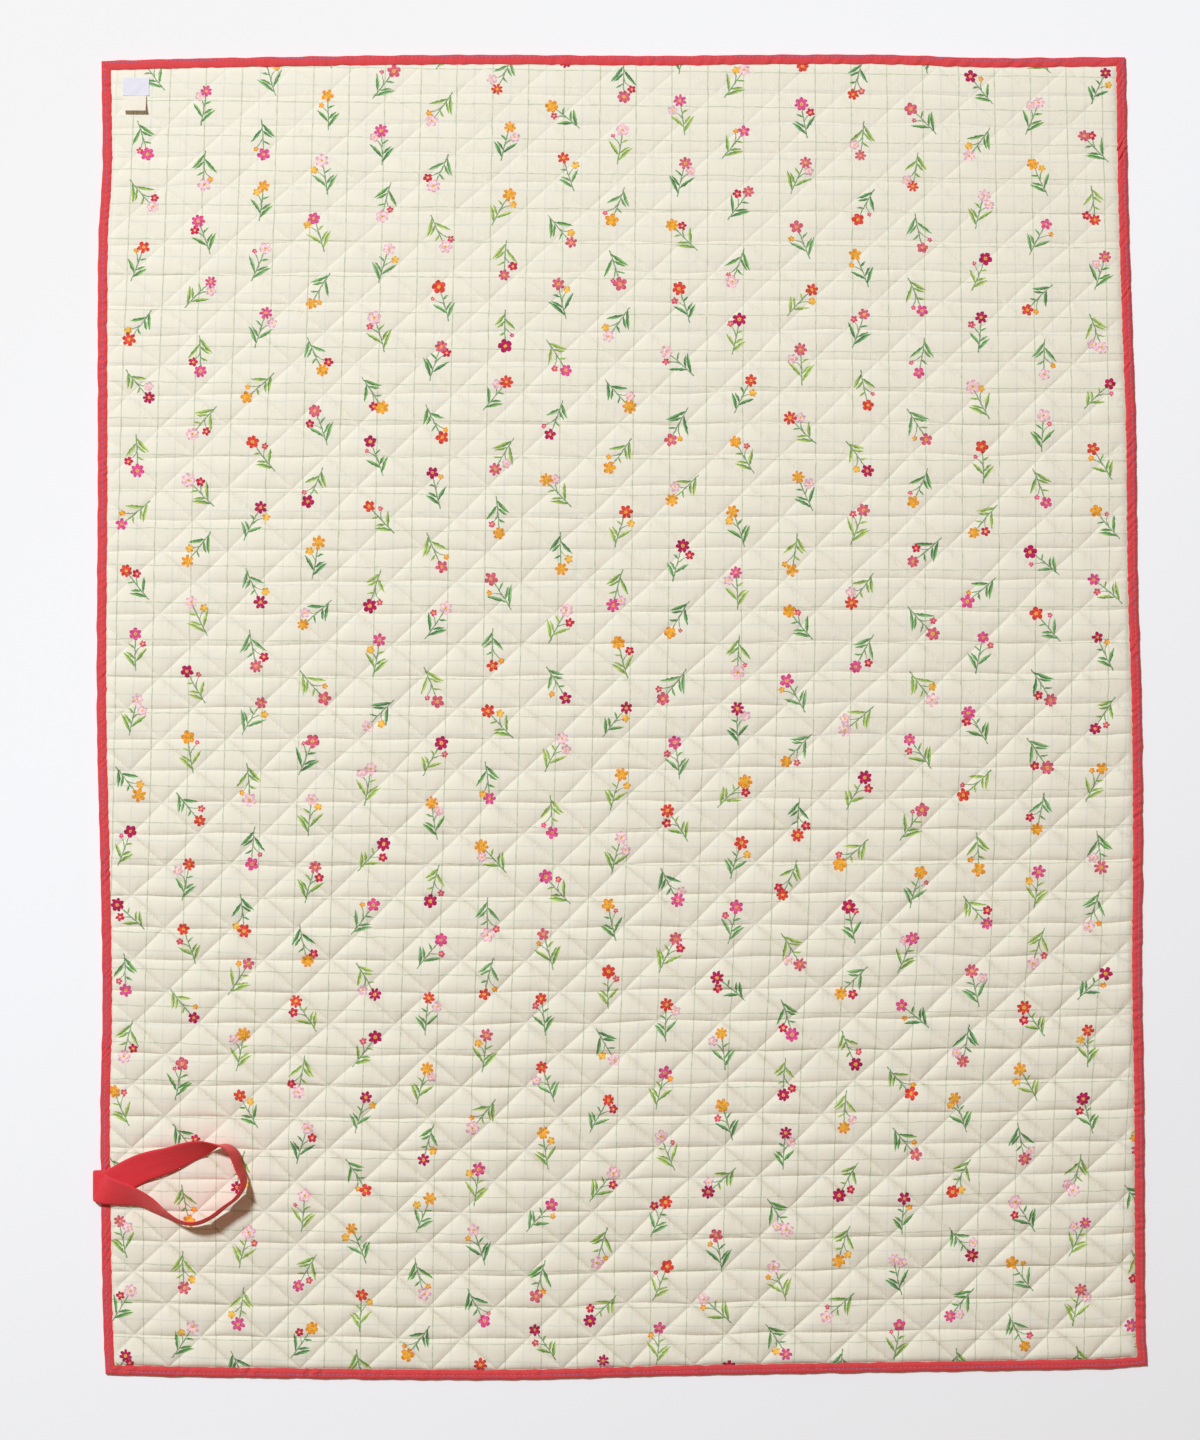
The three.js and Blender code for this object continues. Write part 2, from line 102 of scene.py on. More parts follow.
QUILT_WIDTH = 1100.0
QUILT_LENGTH = 1398.0
PANEL_CENTRE = (-0.9, 1.85)
LEFT_BOW = (
    (0, -4.9), (0.06, -2), (0.2, 0.2), (0.28, -2), (0.38, 0),
    (0.5, 4), (0.68, 3), (0.86, 2.5), (0.92, -2), (1, -0.7),
)
RIGHT_BOW = (
    (0, 9.9), (0.03, 7.2), (0.2, 5.9), (0.3, 3.6), (0.39, 4.6), (0.5, 3.4),
    (0.6, -0.9), (0.72, -2.9), (0.78, -6), (0.9, -11.3), (1, -13.4),
)
BOTTOM_BOW = ((0, 0), (0.08, 2.1), (0.38, 5.3), (0.54, 1), (0.77, -3.2), (0.96, -6.6), (1, -9.6))
TOP_BOW = (
    (0, -5.1), (0.12, -1.9), (0.35, 1.3), (0.55, 0.2),
    (0.64, 1.3), (0.77, 1.3), (0.86, -1.9), (1, -0.9),
)

# The quilting: rows of triangles sewn by level lines and two sets of slanting lines.

FIELD_MARGIN = 10.6
QUILT_ROWS = 42
ROW_PITCH = (QUILT_LENGTH - 2 * FIELD_MARGIN) / QUILT_ROWS
ROW_CREEP = (  # share of the way up the quilt, how far a row has crept up from even spacing
    (0, 0), (0.12, 1.5), (0.24, 3.8), (0.36, 6.7), (0.48, 9.6),
    (0.6, 11.9), (0.72, 13.8), (0.83, 11.2), (0.9, 7.0), (1, 0),
)
CROSSING_PITCH = 69.3
EVEN_ROW_PHASE = -1.75
PANEL_INSET = 3.0
PANEL_EDGE_FLOOR = 1.3
SEAM_HEIGHT = 4.0

# How the checked cloth lies on the quilt, in mm from the middle of the part.

CHECK_PITCH = 38.8
CHECK_LINES = (  # height up the quilt, place of one upright line, pitch of the upright lines
    (-700, -45.5, 38.30), (-543.7, -44.0, 38.45), (-395.3, -41.2, 38.63), (-246.9, -35.5, 38.90),
    (-98.6, -31.2, 38.93), (49.8, -28.0, 38.97), (198.2, -26.3, 38.89), (346.6, -24.7, 38.70),
    (494.9, -22.7, 38.37), (643.3, -21.3, 38.04), (705, -20.8, 37.90),
)
CHECK_LEVELS = (  # height up the quilt, number of the level line
    (-702, 34.96), (-664.6, 34), (-509.2, 30), (-314.0, 25), (-117.6, 20),
    (78.3, 15), (273.9, 10), (464.4, 5), (648.1, 0), (705, -1.55),
)
CHECK_DROP = (  # height up the quilt, drop to the right and drop to both sides of a level line
    (-700, -0.8, -3.6), (-314, 1.06, -2.97), (78, 1.4, -0.95), (700, 4.3, 0.2),
)
CHECK_DROP_REACH = 339.0
CHECK_ORIGIN = (20, 50)

# The carry loop's way across the quilt: reach from the edge, rise along it, lean and lift.

STRAP_CENTRE_Y = -497.0
STRAP_OVERHANG = 8.2
STRAP_LAYER_GAP = 0.4
STRAP_FOLD_RADIUS = 2.6
STRAP_CLEARANCE = 0.3
PUFF_HEIGHT = 9.4
STRAP_STATIONS = (
    (3, -0.2, 1, 0.6), (14, 3.2, 6, 0.6), (29, 12, 11, 0.6), (45, 20, 16, 0.6), (60, 25, 21, 0.6),
    (76, 30, 31, 0.6), (92, 36.6, 41, 0.6), (105.5, 41.3, 50, 0.6), (116, 44.5, 63, 0.8),
    (127, 45.8, 82, 1), (135.5, 44.2, 92, 1.2), (141.5, 40, 97, 1.4), (145.8, 32.3, 101, 1.8),
    (149, 22, 98, 2.4), (153.5, 10.7, 96, 3), (153.5, 2, 95, 3.8), (146.5, -9.4, 96.5, 4.6),
    (134.5, -18.6, 98, 5.4), (119.5, -30, 100, 5.8), (103, -36.4, 103, 5.4),
    (89, -35.4, 105.5, 4.2), (74, -28, 109, 2.8), (59, -18.7, 121, 1.6), (46, -11.6, 127, 1),
    (34, -8.1, 138, 1), (21, -5.8, 149.5, 1.8), (10, -3.6, 160, 2.4), (2, -1.6, 177, 2.8),
)


class PanelSettings(bpy.types.PropertyGroup):
    """The padded panel and its print."""

    puff: size_property("Puff", "Rise of the padding between the seams", 0.0035)
    unevenness: share_property("Unevenness", "Spread of the padding's rise from cell to cell", 0.10)
    ground: colour_property("Ground", "Cream ground of the printed cotton", 241, 235, 216)
    check_line: colour_property("Check", "Upright and level lines of the check", 150, 176, 124)
    faint_line: colour_property("Faint check", "Lines halfway between the check's", 186, 205, 205)
    stalk: colour_property("Stalk", "Stalks of the sprigs", 108, 150, 92)
    backing: colour_property("Backing", "Plain cotton on the underside", 233, 226, 210)


class BindingSettings(bpy.types.PropertyGroup):
    """The folded strip round the edge and its sewing."""

    width: size_property("Width", "Width of the binding on the face", 0.0101)
    wrinkle: size_property("Wrinkle", "Height of the wrinkles in the binding", 0.0011)
    cloth: colour_property("Cloth", "Red cotton of the binding", 220, 72, 74)
    thread: colour_property("Thread", "Thread of the topstitching", 150, 130, 178)
    stitch_pitch: size_property("Stitch pitch", "Distance from stitch to stitch", 0.0047)
    stitch_length: size_property("Stitch length", "Visible length of one stitch", 0.0029)
    stitch_inset: size_property("Stitch inset", "Distance of the topstitching from the edge", 0.0035)


class StrapSettings(bpy.types.PropertyGroup):
    """The carry loop."""

    width: size_property("Width", "Width of the webbing", 0.032)
    thickness: size_property("Thickness", "Thickness of the webbing", 0.0016)
    webbing: colour_property("Webbing", "Red cotton webbing", 228, 59, 67)


class LabelSettings(bpy.types.PropertyGroup):
    """The two labels in the upper left corner."""

    white_width: size_property("White width", "Width of the white label", 0.028)
    white_height: size_property("White height", "Height of the white label", 0.019)
    care_width: size_property("Tab width", "Width of the cream tab", 0.024)
    care_length: size_property("Tab length", "Length of the cream tab", 0.017)
    thickness: size_property("Thickness", "Thickness of either label", 0.0006)
    satin: colour_property("Satin", "White satin of the upper label", 227, 225, 233)
    tape: colour_property("Tape", "Cream tape of the tab", 237, 229, 212)


class StageSettings(bpy.types.PropertyGroup):
    """The floor, the light and the camera."""

    floor: colour_property("Floor", "Pale floor", 252, 254, 255)
    # painted shade: the floor's colour on the key light's side, drawn greyer to even out the light's
    # brighter pool
    floor_painted_shade: colour_property("Floor by the light", "Floor on the key light's side", 238, 237, 234)
    sky: bpy.props.FloatProperty(
        name="Sky", description="Strength of the even light from all round", default=0.245, min=0.0
    )
    key_power: bpy.props.FloatProperty(
        name="Key power", description="Power of the soft key light", default=454.0, unit="POWER"
    )
    key_place: place_property("Key place", "Where the key light hangs", (-2.25, 2.75, 6.0))
    key_width: size_property("Key width", "Width of the key light", 0.4)
    key_height: size_property("Key height", "Height of the key light", 0.8)
    key_colour: colour_property("Key colour", "Colour of the key light", 236, 246, 255)
    sky_colour: colour_property("Sky colour", "Colour of the even light", 255, 216, 186)
    eye: place_property("Eye", "Where the camera hangs, looking straight down", (-0.0214, -0.0032, 3.610))


# Curves and fields


def table_curve(rows, column=1):
    """A smooth curve through the rows of a table, by its first column."""
    places = np.array([row[0] for row in rows], float)
    values = np.array([row[column] for row in rows], float)
    before = np.r_[0, np.arange(len(rows) - 1)]
    after = np.r_[np.arange(1, len(rows)), len(rows) - 1]
    slopes = (values[after] - values[before]) / (places[after] - places[before])

    def at(place):
        place = np.clip(place, places[0], places[-1])
        i = np.clip(np.searchsorted(places, place, side="right") - 1, 0, len(rows) - 2)
        span = places[i + 1] - places[i]
        t = (place - places[i]) / span
        s = t * t * (3 - 2 * t)
        bend = slopes[i] * span * t * (1 - t) ** 2 - slopes[i + 1] * span * t * t * (1 - t)
        return values[i] * (1 - s) + values[i + 1] * s + bend

    return at


def smoothstep(value, low, high):
    t = np.clip((value - low) / (high - low), 0, 1)
    return t * t * (3 - 2 * t)


def waves(seed, count, shortest, longest, heading=(0.0, 360.0)):
    """A field of crossing ripples, mostly from -1 to 1, with lengths in mm and headings in degrees."""
    draw = np.random.default_rng(seed)
    lengths = draw.uniform(shortest, longest, count)
    headings = np.radians(draw.uniform(*heading, count))
    starts = draw.uniform(0, 2 * np.pi, count)

    def at(x, y):
        total = np.zeros(np.broadcast(x, y).shape)
        for length, angle, start in zip(lengths, headings, starts):
            run = x * math.cos(angle) + y * math.sin(angle)
            total = total + np.sin(run * 2 * np.pi / length + start)
        return total / math.sqrt(count)

    return at


left_bow, right_bow, bottom_bow, top_bow = [
    table_curve(rows) for rows in (LEFT_BOW, RIGHT_BOW, BOTTOM_BOW, TOP_BOW)
]


def lay(across, along):
    """Where a place on the cloth, in mm from its lower left corner, lies in the part's frame."""
    u = across / QUILT_WIDTH
    v = along / QUILT_LENGTH
    left = -QUILT_WIDTH / 2 - left_bow(v)
    right = QUILT_WIDTH / 2 + right_bow(v)
    bottom = -QUILT_LENGTH / 2 - bottom_bow(u)
    top = QUILT_LENGTH / 2 + top_bow(u)
    return (
        PANEL_CENTRE[0] + left + (right - left) * u,
        PANEL_CENTRE[1] + bottom + (top - bottom) * v,
    )


upright_place = table_curve(CHECK_LINES, 1)
upright_pitch = table_curve(CHECK_LINES, 2)
level_number = table_curve(CHECK_LEVELS)
drop_right = table_curve(CHECK_DROP, 1)
drop_sides = table_curve(CHECK_DROP, 2)


def print_place(x, y):
    """Where a point of the quilt's face falls on the flat printed cloth, in mm."""
    reach = x / CHECK_DROP_REACH
    level = y + drop_right(y) * reach + drop_sides(y) * reach * reach
    column = (x - upright_place(y)) / upright_pitch(y)
    return np.stack(
        (
            (CHECK_ORIGIN[0] + column) * CHECK_PITCH,
            (CHECK_ORIGIN[1] - level_number(level)) * CHECK_PITCH,
        ),
        axis=-1,
    )


# Quilting

seam_drift_across = waves(11, 7, 90, 260)
seam_drift_along = waves(12, 7, 80, 240)
broad_swell = waves(13, 8, 140, 380)
soft_lumps = waves(14, 10, 26, 55)
seam_puckers = waves(15, 12, 15, 26)
SEAM_DRIFT = 0.9  # mm that the sewing wanders
DRIFT_FROM_EDGE = (2, 40)  # mm from the edge where it starts to wander and where it does so freely
LEVEL_ROUNDNESS = 1.02  # how softly the padding rises from each set of seams
RISING_ROUNDNESS = 1.04
FALLING_ROUNDNESS = 0.74
CROSSING_FILL = 1.15  # how full the padding stays towards the crossings of the seams
CROSSING_LIMIT = 0.03
LEVEL_LIP = 0.65  # mm of extra rise just above a level seam
LIP_REACH = 3.0
LUMP_RISE = 0.22  # mm of the soft lumps in the filling
PUCKER_RISE = 0.24  # mm of the small gathers beside the seams
SWELL_RISE = 0.3  # mm of the broad unevenness under all the padding
BED_RISE = 1.8  # mm that the seams rise from the binding to the open quilt
GROOVE_SHADE_WIDTH = 0.1  # closeness to a seam within which painted shade darkens the cloth's colour
BINDING_INNER = 9.4  # mm from the edge where the face comes out from under the binding
BINDING_SWELL = 5.0  # mm over which it then swells to its full height
PUFF_SHARE = (  # share of the way up the quilt, how full the padding is
    (0, 1.1), (0.2, 1.08), (0.4, 0.88), (0.6, 0.68), (0.75, 0.57), (0.9, 0.42), (1, 0.36),
)
CELLS_A_ROW = 50
CELL_DRAW = np.random.default_rng(21).normal(size=(QUILT_ROWS + 3, CELLS_A_ROW)).clip(-2, 2)

puff_share = table_curve(PUFF_SHARE)
row_creep = table_curve(ROW_CREEP)


def row_line(row):
    """How far up the cloth a row of level sewing runs."""
    return FIELD_MARGIN + row * ROW_PITCH + row_creep(row / QUILT_ROWS)


def row_under(along):
    """The row of sewing next below a place, and the place's share of the way to the next row."""
    rows = np.arange(-1, QUILT_ROWS + 2)
    place = np.interp(along, row_line(rows), rows)
    return np.floor(place), place - np.floor(place)


def corner_points(*pairs):
    """The corners of triangles, each given by how far across and along the cloth it is."""
    return np.stack([np.stack(pair, -1) for pair in pairs], -2)


def cell_at(across, row, rise):
    """The sewn triangle that a place lies in: its corners, the place's weights in it, and its number.

    rise is the place's share of the way from seam row to seam row + 1."""
    half = CROSSING_PITCH / 2
    phase = EVEN_ROW_PHASE + half * (row % 2)
    turn = np.floor((across - phase) / CROSSING_PITCH + 1e-9)
    run = across - phase - turn * CROSSING_PITCH
    upward = (run >= half * rise - 1e-6) & (run <= CROSSING_PITCH - half * rise + 1e-6)
    side = np.where(run < half, run, run - CROSSING_PITCH)
    start = across - run
    tip = across - side
    lower = row_line(row)
    upper = row_line(row + 1)
    second = (run - half * rise) / CROSSING_PITCH
    weights_up = np.stack((1 - rise - second, second, rise), -1)
    weights_down = np.stack((1 - rise, (rise - side / half) / 2, (rise + side / half) / 2), -1)
    corners_up = corner_points((start, lower), (start + CROSSING_PITCH, lower), (start + half, upper))
    corners_down = corner_points((tip, lower), (tip - half, upper), (tip + half, upper))
    weights = np.where(upward[..., None], weights_up, weights_down).clip(0, 1)
    corners = np.where(upward[..., None, None], corners_up, corners_down)
    column = np.where(upward, turn, np.round((tip - phase) / CROSSING_PITCH)) + 3
    number = (2 * column + upward).astype(int)
    return corners, weights, number


def edge_distance(across, along):
    return np.minimum(
        np.minimum(across, QUILT_WIDTH - across), np.minimum(along, QUILT_LENGTH - along)
    )


def drifted(across, along):
    """A place on the seams after the sewing has wandered, clear of the edge."""
    hold = smoothstep(edge_distance(across, along), *DRIFT_FROM_EDGE)
    return (
        across + SEAM_DRIFT * hold * seam_drift_across(across, along),
        along + SEAM_DRIFT * hold * seam_drift_along(across, along),
    )


def padded_height(across, along, weights, row, number, settings):
    """Height of the face over a place in a sewn triangle."""
    closeness = 3 * weights.min(-1)
    upward = (number % 2 == 1)[..., None]
    pointing_up = (FALLING_ROUNDNESS, RISING_ROUNDNESS, LEVEL_ROUNDNESS)
    pointing_down = (LEVEL_ROUNDNESS, RISING_ROUNDNESS, FALLING_ROUNDNESS)
    dome = ((3 * weights) ** np.where(upward, pointing_up, pointing_down)).prod(-1)
    dome = dome * (1.5 * (1 - weights)).clip(CROSSING_LIMIT).prod(-1) ** -CROSSING_FILL
    lip = LEVEL_LIP * (1 - np.exp(-weights[..., 2] * ROW_PITCH / LIP_REACH))
    lip = lip * 2 * np.sqrt(weights[..., 0] * weights[..., 1]) * upward[..., 0]
    spread = CELL_DRAW[(row + 1).astype(int), number.clip(0, CELLS_A_ROW - 1)]
    puff = settings.puff / MM * (1 + settings.unevenness * spread) * dome
    lumps = LUMP_RISE * soft_lumps(across, along) * np.sqrt(dome)
    beside_seam = smoothstep(closeness, 0, 0.25) * (1 - smoothstep(closeness, 0.3, 0.8))
    puckers = PUCKER_RISE * seam_puckers(across, along) * beside_seam
    padding = puff_share(along / QUILT_LENGTH) * (puff + lip + lumps + puckers)
    swell = SWELL_RISE * broad_swell(across, along)
    inside = ((edge_distance(across, along) - BINDING_INNER) / BINDING_SWELL).clip(0, 1)
    near_binding = 1 - (1 - inside) ** 2
    return SEAM_HEIGHT + near_binding * (BED_RISE + swell + padding)


def height_over(across, along, settings):
    """Height of the padded face over any place on the cloth."""
    row, rise = row_under(along)
    _, weights, number = cell_at(across, row, rise)
    return padded_height(across, along, weights, row, number, settings)


FACE_DIVISIONS = 11  # points of the mesh along the side of a sewn triangle
BACK_DIVISIONS = 3
EDGE_CREEP = 1.65  # how much closer the face's points lie to the seams than evenly
CREEP_FROM_SIDE = (12, 40)
BESIDE_BINDING = (9.2, 11.0)  # insets of two upright rows of points along the binding's inner edge
LATTICE_CLEAR = 0.42  # share of a step by which the lattice stays clear of the rim
RIM_CLEAR = 0.3
OFF_LATTICE = -9999


class QuiltSheet:
    """Points of one face of the panel on the sewn triangles, row by row, and the faces between them."""

    def __init__(self, divisions, creep=1.0, beside=()):
        step = ROW_PITCH / divisions
        spacing = CROSSING_PITCH / divisions
        low = PANEL_INSET
        high = QUILT_WIDTH - PANEL_INSET
        top = QUILT_LENGTH - PANEL_INSET
        beside = np.array(beside)
        clear = LATTICE_CLEAR * spacing + (beside[-1] - low if len(beside) else 0.0)
        ends = np.full(len(beside) + 1, OFF_LATTICE)
        first = math.ceil((low + LATTICE_CLEAR * step - FIELD_MARGIN) / step)
        last = math.floor((top - LATTICE_CLEAR * step - FIELD_MARGIN) / step)
        levels = np.arange(first - 1, last + 2)
        runs, steps = [], []
        for level in levels:
            start = EVEN_ROW_PHASE + 0.5 * spacing * level
            count = math.ceil((low + clear - start) / spacing)
            run = np.arange(start + count * spacing, high - clear, spacing)
            runs.append(np.r_[low, beside, run, QUILT_WIDTH - beside[::-1], high])
            steps.append(np.r_[ends, count + np.arange(len(run)), ends])
        lengths = [len(run) for run in runs]
        self.starts = np.cumsum([0] + lengths)
        self.flat = np.concatenate(runs)
        self.divisions = divisions
        self.level = np.repeat(levels, lengths)
        self.step = np.concatenate(steps)
        self.row = np.floor_divide(self.level, divisions).astype(float)
        rise = (self.level - self.row * divisions) / divisions
        corners, weights, self.number = cell_at(self.flat, self.row, rise)
        from_side = np.minimum(self.flat, QUILT_WIDTH - self.flat)
        pull = 1 + (creep - 1) * smoothstep(from_side, *CREEP_FROM_SIDE)
        pulled = weights ** pull[:, None]
        self.weights = pulled / pulled.sum(-1, keepdims=True)
        place = (self.weights[..., None] * corners).sum(-2)
        across, along = drifted(place[:, 0], place[:, 1])
        self.across = across.clip(low + RIM_CLEAR, high - RIM_CLEAR)
        self.along = along.clip(low + RIM_CLEAR, top - RIM_CLEAR)
        self.across[self.starts[:-1]] = low
        self.across[self.starts[1:] - 1] = high
        self.along[: self.starts[1]] = low
        self.along[self.starts[-2] :] = top

    def faces(self):
        """Triangles between neighbouring rows, wound to face up."""
        found = []
        for lower, middle, upper in zip(self.starts, self.starts[1:], self.starts[2:]):
            found += zipped(
                np.arange(lower, middle),
                self.flat[lower:middle],
                np.arange(middle, upper),
                self.flat[middle:upper],
            )
        return np.array(found)

    def on_seam(self, first, second):
        """Which edges, given by their two ends' point numbers, lie along a line of sewing."""
        lattice = (self.step[first] != OFF_LATTICE) & (self.step[second] != OFF_LATTICE)
        level, falling, rising = [
            (line[first] == line[second]) & (line[first] % self.divisions == 0)
            for line in (self.level, self.step, self.step + self.level)
        ]
        return level | lattice & (falling | rising)

    def rim(self):
        """Point numbers round the edge and back to the first, and how far round each is, in sides."""
        bottom = np.arange(self.starts[0], self.starts[1])[:-1]
        right = self.starts[1:-1] - 1
        top = np.arange(self.starts[-2], self.starts[-1])[:0:-1]
        left = self.starts[-2:0:-1]
        order = np.concatenate((bottom, right, top, left))
        run = np.concatenate(
            (
                self.across[bottom] / QUILT_WIDTH,
                1 + self.along[right] / QUILT_LENGTH,
                3 - self.across[top] / QUILT_WIDTH,
                4 - self.along[left] / QUILT_LENGTH,
            )
        )
        return np.r_[order, order[0]], np.r_[run, run[0] + 4]


def zipped(lower, lower_run, upper, upper_run):
    """Triangles that fill the strip between two rows of points, each with its run along the strip."""
    found = []
    i = j = 0
    while i < len(lower) - 1 or j < len(upper) - 1:
        go_lower = j == len(upper) - 1 or (
            i < len(lower) - 1 and lower_run[i + 1] <= upper_run[j + 1]
        )
        if go_lower:
            found.append((lower[i], lower[i + 1], upper[j]))
            i += 1
        else:
            found.append((lower[i], upper[j + 1], upper[j]))
            j += 1
    return found


# Meshes


def new_piece(name, points, faces, cloth_places, material, corner_places=False):
    """A smooth mesh from points in mm, with its cloth map in mm, at the origin.

    cloth_places holds a place on the cloth for each point, or for each corner of each face."""
    mesh = bpy.data.meshes.new(name)
    face_rows = faces.tolist() if isinstance(faces, np.ndarray) else faces
    mesh.from_pydata((np.asarray(points) * MM).tolist(), [], face_rows)
    corner = np.empty(len(mesh.loops), np.int32)
    mesh.loops.foreach_get("vertex_index", corner)
    places = np.asarray(cloth_places, np.float32)
    places = places.reshape(-1, 2) if corner_places else places[corner]
    layer = mesh.uv_layers.new(name=CLOTH_MAP)
    layer.data.foreach_set("uv", np.ascontiguousarray(places).ravel())
    mesh.polygons.foreach_set("use_smooth", np.ones(len(mesh.polygons), bool))
    mesh.materials.append(material)
    mesh.update()
    if mesh.validate():
        raise RuntimeError(f"{name} has faces that can't be kept")
    piece = bpy.data.objects.new(name, mesh)
    bpy.context.scene.collection.objects.link(piece)
    return piece


def unit(vectors):
    """Rows of numbers brought to length 1."""
    return vectors / np.linalg.norm(vectors, axis=1, keepdims=True).clip(1e-9)


def run_along(points):
    """Distance run along a line of points, up to each of them."""
    return np.r_[0.0, np.cumsum(np.linalg.norm(np.diff(points, axis=0), axis=1))]


def swept(sections, run, turn, closed_along):
    """Quads round closed sections, end to end, with each corner's place on the cloth.

    sections is [station, corner, xyz]. run and turn are the places on the cloth along and round the
    sweep, given again at the end where it closes."""
    stations, corners = sections.shape[:2]
    places = np.stack(np.meshgrid(run, turn, indexing="ij"), -1)
    steps = stations if closed_along else stations - 1
    s, c = np.meshgrid(np.arange(steps), np.arange(corners), indexing="ij")
    s2 = (s + 1) % stations
    c2 = (c + 1) % corners
    quads = np.stack((s * corners + c, s * corners + c2, s2 * corners + c2, s2 * corners + c), -1)
    corner_places = np.stack(
        (places[s, c], places[s, c + 1], places[s + 1, c + 1], places[s + 1, c]), -2
    )
    return quads.reshape(-1, 4), corner_places.reshape(-1, 4, 2)


def select_only(piece):
    bpy.ops.object.select_all(action="DESELECT")
    piece.select_set(True)
    bpy.context.view_layer.objects.active = piece


def modelled_stitch(segments, rings, length, width, height):
    """One stitch lying along X with its middle at the origin: its points in mm and its faces."""
    bpy.ops.object.select_all(action="DESELECT")
    bpy.ops.mesh.primitive_uv_sphere_add(segments=segments, ring_count=rings, radius=0.5)
    bead = bpy.context.active_object
    bpy.ops.object.mode_set(mode="EDIT")
    bpy.ops.mesh.select_all(action="SELECT")
    bpy.ops.transform.rotate(value=math.pi / 2, orient_axis="Y", center_override=(0, 0, 0))
    bpy.ops.transform.resize(value=(length, width, height), center_override=(0, 0, 0))
    bpy.ops.mesh.normals_make_consistent(inside=False)
    bpy.ops.object.mode_set(mode="OBJECT")
    points = np.array([tuple(v.co) for v in bead.data.vertices])
    faces = [tuple(p.vertices) for p in bead.data.polygons]
    bpy.data.objects.remove(bead)
    return points, faces


def sewn_row(name, stitch, centres, along, material):
    """Copies of one modelled stitch in one mesh, each along its own level direction."""
    shape, shape_faces = stitch
    up = np.array((0.0, 0.0, 1.0))
    side = np.cross(up, along)
    points = (
        centres[:, None]
        + shape[None, :, 0:1] * along[:, None]
        + shape[None, :, 1:2] * side[:, None]
        + shape[None, :, 2:3] * up
    )
    count = len(shape)
    faces = [tuple(n * count + i for i in face) for n in range(len(centres)) for face in shape_faces]
    turn = np.arctan2(shape[:, 1], shape[:, 2])
    places = np.tile(np.stack((shape[:, 0], turn), -1), (len(centres), 1))
    return new_piece(name, points.reshape(-1, 3), faces, places, material)


# Shader nodes


class Wire:
    """One output of a node, which sums and products take like a number."""

    def __init__(self, board, socket):
        self.board = board
        self.socket = socket

    def __add__(self, other):
        return self.board.math("ADD", self, other)

    def __sub__(self, other):
        return self.board.math("SUBTRACT", self, other)

    def __rsub__(self, other):
        return self.board.math("SUBTRACT", other, self)

    def __mul__(self, other):
        return self.board.math("MULTIPLY", self, other)

    def __truediv__(self, other):
        return self.board.math("DIVIDE", self, other)

    def __rtruediv__(self, other):
        return self.board.math("DIVIDE", other, self)

    __radd__ = __add__
    __rmul__ = __mul__


